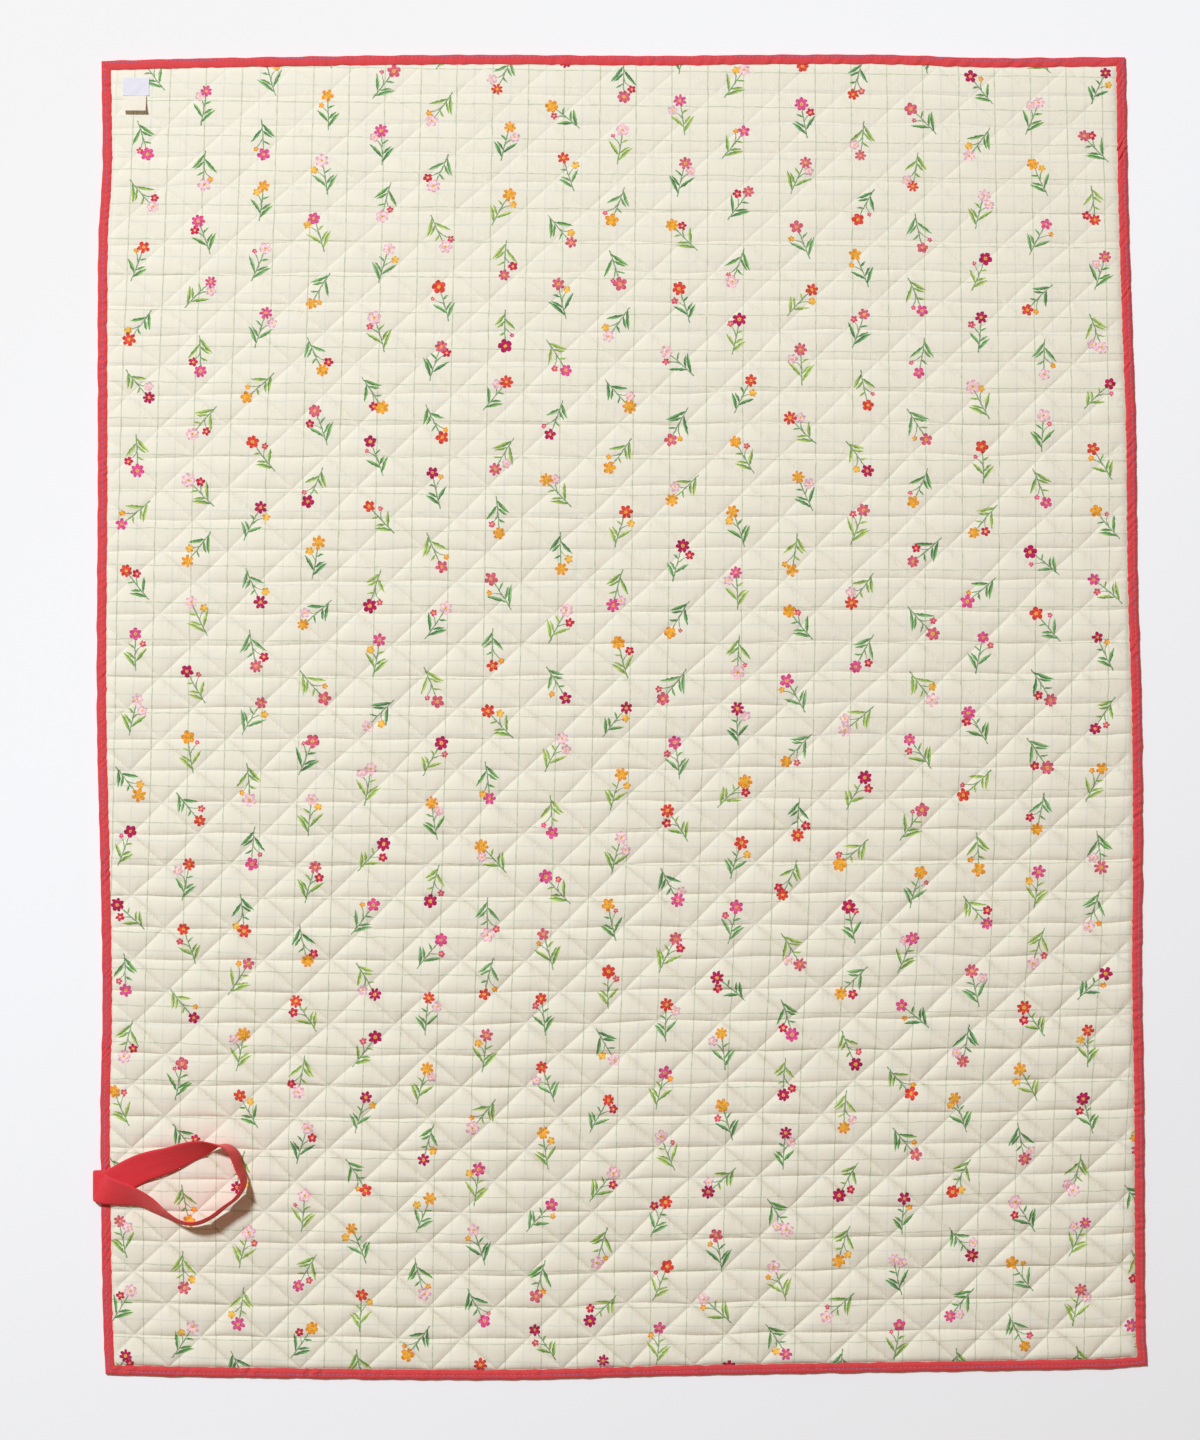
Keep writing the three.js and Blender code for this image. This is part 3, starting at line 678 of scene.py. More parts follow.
class Board:
    """Puts nodes into one material or group and wires them."""

    def __init__(self, tree):
        self.tree = tree

    def node(self, kind, feeds=None, **settings):
        node = self.tree.nodes.new(kind)
        for key, value in settings.items():
            setattr(node, key, value)
        for key, value in (feeds or {}).items():
            self.feed(node.inputs[key], value)
        return node

    def feed(self, socket, value):
        if isinstance(value, Wire):
            self.tree.links.new(value.socket, socket)
        else:
            socket.default_value = value

    def out(self, node, key=0):
        return Wire(self, node.outputs[key])

    def math(self, operation, *values):
        node = self.node("ShaderNodeMath", dict(enumerate(values)), operation=operation)
        return self.out(node)

    def step(self, value, low, high):
        """0 below low, 1 above high and smooth between."""
        feeds = {"Value": value, "From Min": low, "From Max": high}
        return self.out(self.node("ShaderNodeMapRange", feeds, interpolation_type="SMOOTHSTEP"))

    def between(self, value, low, high):
        """0 to 1 carried to low to high."""
        return value * (high - low) + low

    def mix(self, factor, first, second):
        """The first colour at a factor of 0 and the second at 1."""
        node = self.node("ShaderNodeMix", {0: factor, 6: first, 7: second}, data_type="RGBA")
        return self.out(node, 2)

    def tint(self, colour, factor):
        """A colour made darker or lighter by a number."""
        colour = colour if isinstance(colour, Wire) else tuple(colour)[:3]
        node = self.node("ShaderNodeVectorMath", {0: colour, "Scale": factor}, operation="SCALE")
        return self.out(node)

    def noise(self, place, scale, detail=2.0, roughness=0.5):
        feeds = {"Vector": place, "Scale": scale, "Detail": detail, "Roughness": roughness}
        node = self.node("ShaderNodeTexNoise", feeds, noise_dimensions="2D")
        return self.out(node, 0), self.out(node, 1)

    def parts(self, vector):
        node = self.node("ShaderNodeSeparateXYZ", {0: vector})
        return self.out(node, 0), self.out(node, 1), self.out(node, 2)

    def vector(self, x, y, z=0.0):
        return self.out(self.node("ShaderNodeCombineXYZ", {0: x, 1: y, 2: z}))

    def sum(self, first, second, operation="ADD"):
        node = self.node("ShaderNodeVectorMath", {0: first, 1: second}, operation=operation)
        return self.out(node)

    def turned(self, vector, angle):
        feeds = {"Vector": vector, "Angle": angle}
        return self.out(self.node("ShaderNodeVectorRotate", feeds, rotation_type="Z_AXIS"))

    def scaled(self, vector, by):
        node = self.node("ShaderNodeVectorMath", {0: vector, 1: by}, operation="MULTIPLY")
        return self.out(node)

    def cloth(self):
        return self.out(self.node("ShaderNodeUVMap", uv_map=CLOTH_MAP))

    def attribute(self, name):
        return self.out(self.node("ShaderNodeAttribute", attribute_name=name), "Fac")

    def palette(self, value, colours):
        """One of the colours, given from 0 to 255, by even shares of 0 to 1."""
        node = self.node("ShaderNodeValToRGB", {0: value})
        ramp = node.color_ramp
        ramp.interpolation = "CONSTANT"
        while len(ramp.elements) < len(colours):
            ramp.elements.new(0.5)
        for i, colour in enumerate(colours):
            ramp.elements[i].position = i / len(colours)
            ramp.elements[i].color = srgb(*colour)
        return self.out(node, 0)

    def group(self, tree, feeds):
        return self.node("ShaderNodeGroup", feeds, node_tree=tree)

    def bump(self, height, distance, strength=1.0, normal=None):
        feeds = {"Height": height, "Distance": distance, "Strength": strength}
        if normal is not None:
            feeds["Normal"] = normal
        return self.out(self.node("ShaderNodeBump", feeds))


def shader_group(name, vectors, values, draw):
    """The shader group of this name, which draw(board, inputs) wires when it is first asked for.

    vectors and values name its inputs. draw gives its outputs, which are all values."""
    tree = bpy.data.node_groups.get(name)
    if tree:
        return tree
    tree = bpy.data.node_groups.new(name, "ShaderNodeTree")
    for kind, labels in (("NodeSocketVector", vectors), ("NodeSocketFloat", values)):
        for label in labels:
            tree.interface.new_socket(name=label, in_out="INPUT", socket_type=kind)
    board = Board(tree)
    source = board.node("NodeGroupInput")
    gives = draw(board, {label: board.out(source, label) for label in (*vectors, *values)})
    for label in gives:
        tree.interface.new_socket(name=label, in_out="OUTPUT", socket_type="NodeSocketFloat")
    board.node("NodeGroupOutput", gives)
    return tree


def cotton_weave():
    """Plain weave of round threads with slubs: height, and a faint shade from thread to thread."""

    def draw(b, given):
        x, y, _ = b.parts(given["Place"])
        turn = math.pi / given["Pitch"]
        crossing = b.math("SINE", x * turn) * b.math("SINE", y * turn)
        warp_slub, _ = b.noise(b.scaled(given["Place"], (0.9, 0.05, 0.0)), 1.0)
        weft_slub, _ = b.noise(b.scaled(given["Place"], (0.05, 0.9, 0.0)), 1.0)
        slubs = warp_slub + weft_slub - 1.0
        return {"Height": crossing * 0.5 + slubs * 1.2 + 0.5, "Shade": slubs}

    return shader_group("Cotton weave", ("Place",), ("Pitch",), draw)


def cloth_mottle():
    """Slow unevenness of dye and light wear: a factor about 1."""

    def draw(b, given):
        slow, _ = b.noise(given["Place"], given["Grain"], 3.0, 0.6)
        return {"Factor": (slow - 0.5) * given["Amount"] + 1.0}

    return shader_group("Cloth mottle", ("Place",), ("Grain", "Amount"), draw)


def leaf_shape():
    """One pointed leaf from its base: inside mask, which half, and the share along it."""

    def draw(b, given):
        local = b.turned(b.sum(given["Place"], given["Base"], "SUBTRACT"), 0.0 - given["Angle"])
        along, off, _ = b.parts(local)
        share = along / given["Length"]
        bent = off - share * share * given["Bend"]
        centred = share * 2.0 - 1.0
        inside = (1.0 - centred * centred) * given["Width"] - b.math("ABSOLUTE", bent)
        half = b.step(bent, -0.25, 0.25)
        return {"Mask": b.step(inside, -0.12, 0.28), "Half": half, "Along": share}

    return shader_group("Leaf", ("Place", "Base"), ("Angle", "Length", "Width", "Bend"), draw)


def blossom_shape():
    """One open flower: inside mask, share from the middle to the rim, nearness to a petal's midline."""

    def draw(b, given):
        x, y, _ = b.parts(b.sum(given["Place"], given["Middle"], "SUBTRACT"))
        far = b.math("SQRT", x * x + y * y)
        angle = b.math("ARCTAN2", y, x) + given["Turn"]
        petal = b.math("ABSOLUTE", b.math("COSINE", angle * given["Petals"] * 0.5))
        round_petal = b.math("POWER", petal, 0.55)
        rim = given["Radius"] * (1.0 - given["Notch"] * (1.0 - round_petal))
        return {"Mask": b.step(rim - far, -0.15, 0.35), "Reach": far / rim, "Petal": petal}

    return shader_group("Blossom", ("Place", "Middle"), ("Radius", "Petals", "Notch", "Turn"), draw)


def blossom(b, place, middle, radius, petals, notch, turn):
    """A flower on the print: its mask, and the two values that its colours go by."""
    feeds = {"Place": place, "Middle": middle, "Radius": radius, "Petals": petals}
    feeds.update({"Notch": notch, "Turn": turn})
    node = b.group(blossom_shape(), feeds)
    return [b.out(node, key) for key in ("Mask", "Reach", "Petal")]


PETAL_COLOURS = (
    (188, 36, 88), (228, 78, 60), (241, 168, 52), (226, 92, 146), (247, 214, 216), (221, 106, 122),
)
PETAL_RIMS = (
    (146, 18, 74), (198, 40, 40), (226, 126, 30), (204, 52, 116), (228, 132, 164), (188, 66, 96),
)
SECOND_COLOURS = (
    (226, 82, 132), (240, 160, 48), (222, 88, 116), (244, 184, 72), (205, 44, 84), (240, 196, 206),
)
LEAF_COLOURS = ((62, 130, 58), (98, 150, 54), (50, 114, 52), (126, 168, 58), (78, 140, 64))
LIGHT_LEAF_COLOURS = (
    (138, 190, 96), (186, 206, 104), (116, 182, 106), (200, 216, 122), (154, 198, 136),
)
EYE_COLOUR = (240, 190, 80)
SECOND_EYE_COLOUR = (238, 196, 92)
PIP_COLOUR = (150, 92, 40)
SPRIG_CELL = (64.0, 69.0)  # mm across and along of the cloth for each sprig
SPRIG_STROLL = 9.0
SPRIG_SCALE = 1.07
SPRIG_TILT = 1.7  # spread of the tilts, in radians
UPRIGHT_SHARE = 0.6
SPRIG_FOOT = -23.0
SPRIG_HEAD = (2.2, 14.0)
TWIG_FOOT = (0.4, -7.0)
STALK_EDGE = (0.85, 0.35)
TWIG_EDGE = (0.95, 0.4)
INK_CREEP = 1.5  # mm that the ink has run
WASH = (0.42, 1.58)  # darkest and lightest painting
SPRIG_LEAVES = (  # base, angle, length, width, bend
    ((0.1, -19.0, 0.0), 2.05, 19.0, 1.8, 2.8),
    ((0.3, -14.0, 0.0), 0.95, 18.0, 1.75, -2.6),
    ((0.2, -11.0, 0.0), 2.25, 12.0, 1.45, 1.4),
    ((1.0, 0.0, 0.0), 2.45, 8.0, 1.1, 1.0),
)


def sprig_layers(b, place, stalk_colour):
    """The scattered sprigs at a place on the print: a list of (mask, colour), lowest first."""
    x, y, _ = b.parts(place)
    column = b.math("FLOOR", x / SPRIG_CELL[0])
    dropped = y + b.math("FLOORED_MODULO", column, 2.0) * (SPRIG_CELL[1] / 2)
    row = b.math("FLOOR", dropped / SPRIG_CELL[1])
    cell = b.vector(column, row)
    draws = []
    for spot in (cell, b.sum(cell, (31.0, 17.0, 0.0))):
        drawn = b.node("ShaderNodeTexWhiteNoise", {"Vector": spot}, noise_dimensions="2D")
        draws += b.parts(b.out(drawn, "Color"))
    tilt_draw, stroll_x, stroll_y, kind_draw, colour_draw, leaf_draw = draws
    local_x = x - (column + 0.5) * SPRIG_CELL[0] + (stroll_x - 0.5) * SPRIG_STROLL
    local_y = dropped - (row + 0.5) * SPRIG_CELL[1] + (stroll_y - 0.5) * SPRIG_STROLL
    upended = b.math("GREATER_THAN", b.math("FRACT", tilt_draw * 7.0), UPRIGHT_SHARE)
    tilt = (tilt_draw - 0.5) * SPRIG_TILT + upended * math.pi
    mirrored = b.math("GREATER_THAN", b.math("FRACT", kind_draw * 5.0), 0.5) * 2.0 - 1.0
    turned_x, turned_y, _ = b.parts(b.turned(b.vector(local_x, local_y), tilt))
    wash, ink = b.noise(place, 0.3, 1.0)
    wash = b.between(wash, *WASH)
    ink_x, ink_y, _ = b.parts(ink)
    sprig_x = turned_x * mirrored / SPRIG_SCALE + (ink_x - 0.5) * INK_CREEP
    sprig_y = turned_y / SPRIG_SCALE + (ink_y - 0.5) * INK_CREEP
    sprig = b.vector(sprig_x, sprig_y)

    climb = (sprig_y - SPRIG_FOOT) / (SPRIG_HEAD[1] - SPRIG_FOOT)
    stalk = b.step(b.math("ABSOLUTE", sprig_x - climb * climb * SPRIG_HEAD[0]), *STALK_EDGE)
    stalk = stalk * b.step(sprig_y, SPRIG_FOOT, SPRIG_FOOT + 1)
    stalk = stalk * b.step(sprig_y, SPRIG_HEAD[1] - 1, SPRIG_HEAD[1] - 2)
    twig_x = b.between(leaf_draw, 7.5, 11.0)
    twig_y = b.between(stroll_x, 1.5, 8.0)
    twig_climb = (sprig_y - TWIG_FOOT[1]) / (twig_y - TWIG_FOOT[1])
    twig_bend = twig_climb * twig_climb * (twig_x - TWIG_FOOT[0])
    twig = b.step(b.math("ABSOLUTE", sprig_x - TWIG_FOOT[0] - twig_bend), *TWIG_EDGE)
    twig = twig * b.step(twig_climb, -0.05, 0.05)
    twig = twig * b.step(twig_climb, 1.0, 0.9) * b.step(sprig_x, 0.0, TWIG_FOOT[0])
    layers = [(b.math("MAXIMUM", stalk, twig) * 0.9, stalk_colour)]

    leaf_colour = b.palette(leaf_draw, LEAF_COLOURS)
    light_colour = b.palette(leaf_draw, LIGHT_LEAF_COLOURS)
    growth = b.between(colour_draw, 0.85, 1.2)
    for base, angle, length, width, bend in SPRIG_LEAVES:
        feeds = {"Place": sprig, "Base": base, "Angle": angle, "Length": growth * length}
        feeds.update({"Width": width, "Bend": bend})
        leaf = b.group(leaf_shape(), feeds)
        lit = b.out(leaf, "Half") * b.step(b.out(leaf, "Along"), 0.0, 0.75)
        two_greens = b.mix(lit, leaf_colour, light_colour)
        layers.append((b.out(leaf, "Mask") * 0.94, b.tint(two_greens, wash)))

    middle = b.vector(twig_x, twig_y + 1.0)
    radius = b.between(kind_draw, 2.3, 5.6)
    inside, reach, _ = blossom(b, sprig, middle, radius, 5.0, 0.5, 0.7)
    shade = b.between(b.step(reach, 0.95, 0.35), 0.8, 1.15) * wash
    layers.append((inside, b.tint(b.palette(kind_draw, SECOND_COLOURS), shade)))
    layers.append((b.step(reach, 0.34, 0.22) * inside, srgb(*SECOND_EYE_COLOUR)))

    radius = b.between(stroll_y, 6.0, 7.4)
    petals = b.math("FLOOR", b.between(kind_draw, 5.0, 7.99))
    notch = b.between(b.math("FRACT", kind_draw * 3.0), 0.38, 0.72)
    inside, reach, petal = blossom(b, sprig, (*SPRIG_HEAD, 0.0), radius, petals, notch, tilt_draw * 6.0)
    rimmed = b.step(reach, 0.62, 1.0) * 0.75
    veined = b.step(petal, 0.93, 1.0) * b.step(reach, 0.85, 0.3) * 0.5
    petal_colour = b.palette(colour_draw, PETAL_COLOURS)
    rim_colour = b.palette(colour_draw, PETAL_RIMS)
    painted = b.mix(b.math("MAXIMUM", rimmed, veined), petal_colour, rim_colour)
    layers.append((inside, b.tint(painted, wash)))
    layers.append((b.step(reach, 0.33, 0.2) * inside, srgb(*EYE_COLOUR)))
    layers.append((b.step(reach, 0.13, 0.06) * inside * 0.7, srgb(*PIP_COLOUR)))
    return layers


def new_material(name, roughness, sheen):
    material = bpy.data.materials.new(name)
    material.use_nodes = True
    board = Board(material.node_tree)
    shader = next(n for n in material.node_tree.nodes if n.type == "BSDF_PRINCIPLED")
    shader.inputs["Roughness"].default_value = roughness
    shader.inputs["Sheen Weight"].default_value = sheen
    shader.inputs["Specular IOR Level"].default_value = 0.25
    return material, board, shader


CHECK_WAVER = (1.6, 2.2)  # mm that the check's upright and level lines waver
CHECK_EDGE = (0.95, 0.3)  # mm from a line's middle where it fades out and where it is full
FAINT_EDGE = (1.3, 0.4)
# painted shade: how much darker the cloth's colour is drawn in the seams' grooves
GROOVE_PAINTED_SHADE = 0.09


def printed_cotton(settings):
    """Cream cotton with the check, the sprigs, painted shade in the grooves at the seams and gathers beside
    them.
    """
    material, b, shader = new_material("Printed cotton", 0.92, 0.06)
    place = b.cloth()
    _, waver = b.noise(place, 0.045, 1.0)
    half = CHECK_PITCH / 2
    to_lines = [
        b.math("PINGPONG", at + (off - 0.5) * reach, half)
        for at, off, reach in zip(b.parts(place), b.parts(waver), CHECK_WAVER)
    ]
    ink, _ = b.noise(place, 0.16, 3.0, 0.65)
    strength = b.between(b.step(ink, 0.3, 0.72), 0.3, 0.68)
    upright, level = [b.step(off, *CHECK_EDGE) for off in to_lines]
    check = b.math("MAXIMUM", upright, level * 0.8) * strength
    faint = b.math("MAXIMUM", *[b.step(half - off, *FAINT_EDGE) for off in to_lines])
    weave = b.group(cotton_weave(), {"Place": place, "Pitch": 0.75})
    mottle = b.group(cloth_mottle(), {"Place": place, "Grain": 0.02, "Amount": 0.05})
    seam = b.attribute(SEAM_ATTRIBUTE)
    # Painted shade in the grooves along the seams, in place of the shadow the mesh is too coarse to cast
    groove_shade = b.step(seam, GROOVE_SHADE_WIDTH, 0.0) * GROOVE_PAINTED_SHADE
    shade = b.out(weave, "Shade") * 0.05 + b.out(mottle, "Factor") - groove_shade
    colour = b.tint(settings.ground, shade)
    colour = b.mix(faint * strength * 0.5, colour, tuple(settings.faint_line))
    colour = b.mix(check, colour, tuple(settings.check_line))
    for mask, paint in sprig_layers(b, place, tuple(settings.stalk)):
        colour = b.mix(mask, colour, paint)
    b.feed(shader.inputs["Base Color"], colour)
    gathers, _ = b.noise(b.scaled(place, (0.15, 0.06, 0.0)), 1.0, 2.0, 0.55)
    crease = b.bump(b.step(seam, 0.75, 0.1) * gathers, 0.0011, 0.55)
    b.feed(shader.inputs["Normal"], b.bump(b.out(weave, "Height"), 0.00012, 0.5, crease))
    return material


def plain_cotton(name, colour, pitch, roughness, sheen, mottling, relief):
    """Plain-weave cotton of one colour, with threads at a pitch in mm and a relief in m."""
    material, b, shader = new_material(name, roughness, sheen)
    place = b.cloth()
    weave = b.group(cotton_weave(), {"Place": place, "Pitch": pitch})
    mottle = b.group(cloth_mottle(), {"Place": place, "Grain": 0.06, "Amount": mottling})
    shade = b.out(weave, "Shade") * 0.1 + b.out(mottle, "Factor")
    b.feed(shader.inputs["Base Color"], b.tint(colour, shade))
    b.feed(shader.inputs["Normal"], b.bump(b.out(weave, "Height"), relief, 0.6))
    return material


RIB_PITCH = 1.75
PICK_PITCH = 0.9


def webbing_cotton(settings):
    """Ribbed webbing: ribs run lengthwise and fine picks cross them."""
    material, b, shader = new_material("Red webbing", 0.82, 0.35)
    shader.inputs["Sheen Tint"].default_value = srgb(255, 170, 155)
    place = b.cloth()
    run, across, _ = b.parts(place)
    rib = b.math("SINE", across * (2 * math.pi / RIB_PITCH)) * 0.5 + 0.5
    every_other = b.math("FLOOR", across / (RIB_PITCH / 2)) * math.pi
    pick = b.math("SINE", run * (2 * math.pi / PICK_PITCH) + every_other)
    uneven, _ = b.noise(b.scaled(place, (0.02, 0.7, 0.0)), 1.0)
    mottle = b.group(cloth_mottle(), {"Place": place, "Grain": 0.05, "Amount": 0.12})
    # The ribs' furrows are drawn darker: painted shade. The unevenness and mottle are the webbing's own
    # dye.
    shade = b.between(rib, 0.93, 1.04) * b.between(uneven, 0.88, 1.12) * b.out(mottle, "Factor")
    b.feed(shader.inputs["Base Color"], b.tint(settings.webbing, shade))
    height = rib + pick * 0.22 + uneven * 0.5
    b.feed(shader.inputs["Normal"], b.bump(height, 0.00022, 0.6))
    return material


FLOAT_PITCH = 0.8


def satin_cloth(name, colour, slant):
    """Label cloth: close slanting floats with a soft shine."""
    material, b, shader = new_material(name, 0.55, 0.05)
    place = b.cloth()
    x, y, _ = b.parts(place)
    floats = b.math("SINE", (x + y * slant) * (2 * math.pi / FLOAT_PITCH)) * 0.5 + 0.5
    mottle = b.group(cloth_mottle(), {"Place": place, "Grain": 0.15, "Amount": 0.05})
    # The troughs between the floats are drawn slightly darker: painted shade. The mottle is the cloth's own
    # dye.
    shade = b.between(floats, 0.97, 1.02) * b.out(mottle, "Factor")
    b.feed(shader.inputs["Base Color"], b.tint(colour, shade))
    b.feed(shader.inputs["Normal"], b.bump(floats, 0.00008, 0.5))
    return material


def twisted_thread(name, colour):
    """Sewing thread: two plies wound round each other."""
    material, b, shader = new_material(name, 0.6, 0.2)
    run, turn, _ = b.parts(b.cloth())
    plies = b.math("SINE", run * 7.0 + turn * 2.0) * 0.5 + 0.5
    # The grooves between the plies are drawn darker and their crowns lighter: painted shade and painted
    # highlight.
    b.feed(shader.inputs["Base Color"], b.tint(colour, b.between(plies, 0.75, 1.1)))
    b.feed(shader.inputs["Normal"], b.bump(plies, 0.00012, 0.6))
    return material


# Pieces

FLOOR_SIZE = 40.0
FLOOR_DROP = 0.0004
FLOOR_SLANT = (0.6, 0.8)  # the way to the key light over the floor: left and up
FLOOR_SHADE_SPAN = (0.05, 1.15)  # m that way, where painted shade starts to darken the floor against the key light's pool and where it is darkest
LENS = 85  # mm
SENSOR_WIDTH = 36
FAR_LIMIT = 100


class PLAYQUILT_OT_stage(bpy.types.Operator):
    """Lays the pale floor, hangs the soft light and sets the camera over the quilt"""

    bl_idname = "play_quilt.stage"
    bl_label = "Stage"

    def execute(self, context):
        settings = context.scene.play_quilt_stage
        bpy.ops.object.select_all(action="DESELECT")
        bpy.ops.mesh.primitive_plane_add(size=FLOOR_SIZE, location=(0, 0, -FLOOR_DROP))
        floor = context.active_object
        floor.name = "floor"
        bpy.ops.object.transform_apply(location=True, rotation=True, scale=True)
        material, b, shader = new_material("Pale floor", 0.95, 0.0)
        spot = b.out(b.node("ShaderNodeTexCoord"), "Object")
        mottle = b.group(cloth_mottle(), {"Place": spot, "Grain": 3.0, "Amount": 0.006})
        east, north, _ = b.parts(spot)
        # Painted shade: the floor is drawn greyer toward the key light, evening out its pool of light.
        toward_light_shade = b.step(north * FLOOR_SLANT[1] - east * FLOOR_SLANT[0], *FLOOR_SHADE_SPAN)
        graded = b.mix(toward_light_shade, tuple(settings.floor), tuple(settings.floor_painted_shade))
        b.feed(shader.inputs["Base Color"], b.tint(graded, b.out(mottle, "Factor")))
        floor.data.materials.append(material)

        world = bpy.data.worlds.new("Studio")
        world.use_nodes = True
        sky = next(n for n in world.node_tree.nodes if n.type == "BACKGROUND")
        sky.inputs["Color"].default_value = tuple(settings.sky_colour)
        sky.inputs["Strength"].default_value = settings.sky
        context.scene.world = world

        bpy.ops.object.light_add(type="AREA", location=tuple(settings.key_place))
        key = context.active_object
        key.name = "key_light"
        key.data.energy = settings.key_power
        key.data.color = tuple(settings.key_colour)[:3]
        key.data.shape = "RECTANGLE"
        key.data.size = settings.key_width
        key.data.size_y = settings.key_height
        aim = -Vector(settings.key_place)
        key.rotation_euler = aim.to_track_quat("-Z", "Y").to_euler()

        bpy.ops.object.camera_add(location=tuple(settings.eye), rotation=(0, 0, 0))
        camera = context.active_object
        camera.data.lens = LENS
        camera.data.sensor_width = SENSOR_WIDTH
        camera.data.clip_end = FAR_LIMIT
        context.scene.camera = camera
        context.scene.view_settings.view_transform = "Standard"
        context.scene.view_settings.look = "None"
        return {"FINISHED"}


BACK_LIFT = 0.05
BACK_HOLLOW = 0.8  # mm that the seams draw the backing up from the floor
BACK_ROUNDNESS = 0.4
UNDER_BINDING = (14.0, 10.5)  # mm from the edge where the backing leaves the floor, and lies on the binding


def back_height(sheet):
    """Height of the backing, which the seams and the binding lift off the floor."""
    dome = (27 * sheet.weights.prod(-1)).clip(0, 1) ** BACK_ROUNDNESS
    height = BACK_LIFT + BACK_HOLLOW * (1 - dome)
    lifted = smoothstep(edge_distance(sheet.across, sheet.along), *UNDER_BINDING)
    return height + (PANEL_EDGE_FLOOR - height) * lifted


def mark_seams(mesh, face, others):
    """Sharpens the edges along the sewing and stores how close each point is to a seam.

    The mesh starts with the points of face. others is the number of points that follow."""
    # The closeness is raised where the padding is thin, so that the painted groove shade fades up the
    # quilt.
    groove_shade_fade = GROOVE_SHADE_WIDTH * (1 - puff_share(face.along / QUILT_LENGTH) / PUFF_SHARE[0][1])
    closeness = np.r_[3 * face.weights.min(-1) + groove_shade_fade, np.ones(others)]
    seam = mesh.attributes.new(SEAM_ATTRIBUTE, "FLOAT", "POINT")
    seam.data.foreach_set("value", closeness.astype(np.float32))
    ends = np.empty(2 * len(mesh.edges), np.int32)
    mesh.edges.foreach_get("vertices", ends)
    ends = ends.reshape(-1, 2)
    creased = np.zeros(len(ends), bool)
    on_face = ends.max(1) < len(face.across)
    creased[on_face] = face.on_seam(ends[on_face, 0], ends[on_face, 1])
    mesh.edges.foreach_set("use_edge_sharp", creased)


class PLAYQUILT_OT_panel(bpy.types.Operator):
    """Pads and quilts the printed panel"""

    bl_idname = "play_quilt.panel"
    bl_label = "Padded panel"

    def execute(self, context):
        settings = context.scene.play_quilt_panel
        face = QuiltSheet(FACE_DIVISIONS, EDGE_CREEP, BESIDE_BINDING)
        back = QuiltSheet(BACK_DIVISIONS)
        face_z = padded_height(
            face.across, face.along, face.weights, face.row, face.number, settings
        )
        points = np.concatenate(
            [
                np.stack((*lay(sheet.across, sheet.along), height), -1)
                for sheet, height in ((face, face_z), (back, back_height(back)))
            ]
        )
        offset = len(face.across)
        upper, upper_run = face.rim()
        lower, lower_run = back.rim()
        face_faces = face.faces()
        back_faces = back.faces()[:, ::-1] + offset
        sides = np.array(zipped(lower + offset, lower_run, upper, upper_run))
        faces = np.concatenate((face_faces, back_faces, sides))
        places = print_place(points[:, 0], points[:, 1])
        piece = new_piece("quilt_panel_cloth", points, faces, places, printed_cotton(settings))
        backing = plain_cotton(
            "Backing cotton",
            settings.backing,
            pitch=0.75,
            roughness=0.92,
            sheen=0.05,
            mottling=0.06,
            relief=0.00012,
        )
        piece.data.materials.append(backing)
        worn = np.zeros(len(faces), np.int32)
        worn[len(face_faces) :] = 1
        piece.data.polygons.foreach_set("material_index", worn)
        mark_seams(piece.data, face, len(back.across))
        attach(piece, "root")
        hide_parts("quilt_panel")
        return {"FINISHED"}


# The binding's section: inset from the edge, height, and how much of the wrinkling it takes.
BINDING_SECTION = (
    (10.1, 4.35, 0.2), (10.2, 4.9, 0.6), (9.7, 5.35, 0.8), (8.2, 5.65, 1.0), (6.4, 5.7, 1.0),
    (4.7, 5.45, 0.7), (3.5, 5.0, 0.25), (2.4, 5.2, 0.6), (1.3, 5.0, 0.7), (0.45, 4.3, 0.4),
    (0.0, 3.2, 0.2), (0.05, 1.7, 0.1), (0.6, 0.5, 0.0), (1.6, 0.05, 0.0), (5.5, 0.0, 0.0),
    (9.9, 0.05, 0.0), (10.1, 0.5, 0.0), (9.6, 0.9, 0.0), (2.4, 1.0, 0.0), (1.2, 1.8, 0.0),
    (1.3, 3.3, 0.0), (2.6, 4.15, 0.0), (6.0, 4.25, 0.0), (9.6, 4.25, 0.0),
)
BINDING_STEP = 1.55
SEWN_INSET = 3.5
SEWN_LINES = (  # for each side, share along it and inset of the topstitching
    ((0, 3.6), (0.5, 4.0), (1, 4.1)),
    ((0, 3.2), (0.5, 3.4), (1, 3.2)),
    ((0, 3.0), (0.5, 2.4), (1, 2.4)),
    ((0, 2.6), (0.05, 4.6), (0.2, 5.1), (0.5, 4.7), (1, 4.0)),
)
INNER_FALL = (0.45, 0.45, 0.1, 0.0)  # mm that the binding's inner edge dips on each side
FALL_REACH = (6.4, 9.7)
ON_FACE = 4.0  # height over which a point of the section is on the face
ON_TOP = 4.5
INNER_EDGE = 9.0  # insets that count as the binding's inner and outer edge
OUTER_EDGE = 1.0
INNER_WAVER = 0.4
OUTER_WAVER = 0.3
CORNER_REACH = 0.02
SIDE_LENGTHS = (QUILT_WIDTH, QUILT_LENGTH, QUILT_WIDTH, QUILT_LENGTH)
STITCH_SECTION = (1.1, 0.8)  # width and height of a stitch
STITCH_LEVEL = 5.12
STITCH_WAVER = 0.22
STITCH_SLANT = 0.06
side_wrinkles = waves(31, 9, 4.8, 9.0, (30.0, 60.0))
level_wrinkles = waves(32, 9, 9.0, 20.0, (-30.0, 30.0))
wrinkle_spells = waves(33, 6, 35.0, 110.0, (0.0, 0.0))
outer_waver = waves(34, 7, 20.0, 60.0, (0.0, 0.0))
inner_waver = waves(35, 7, 16.0, 55.0, (0.0, 0.0))


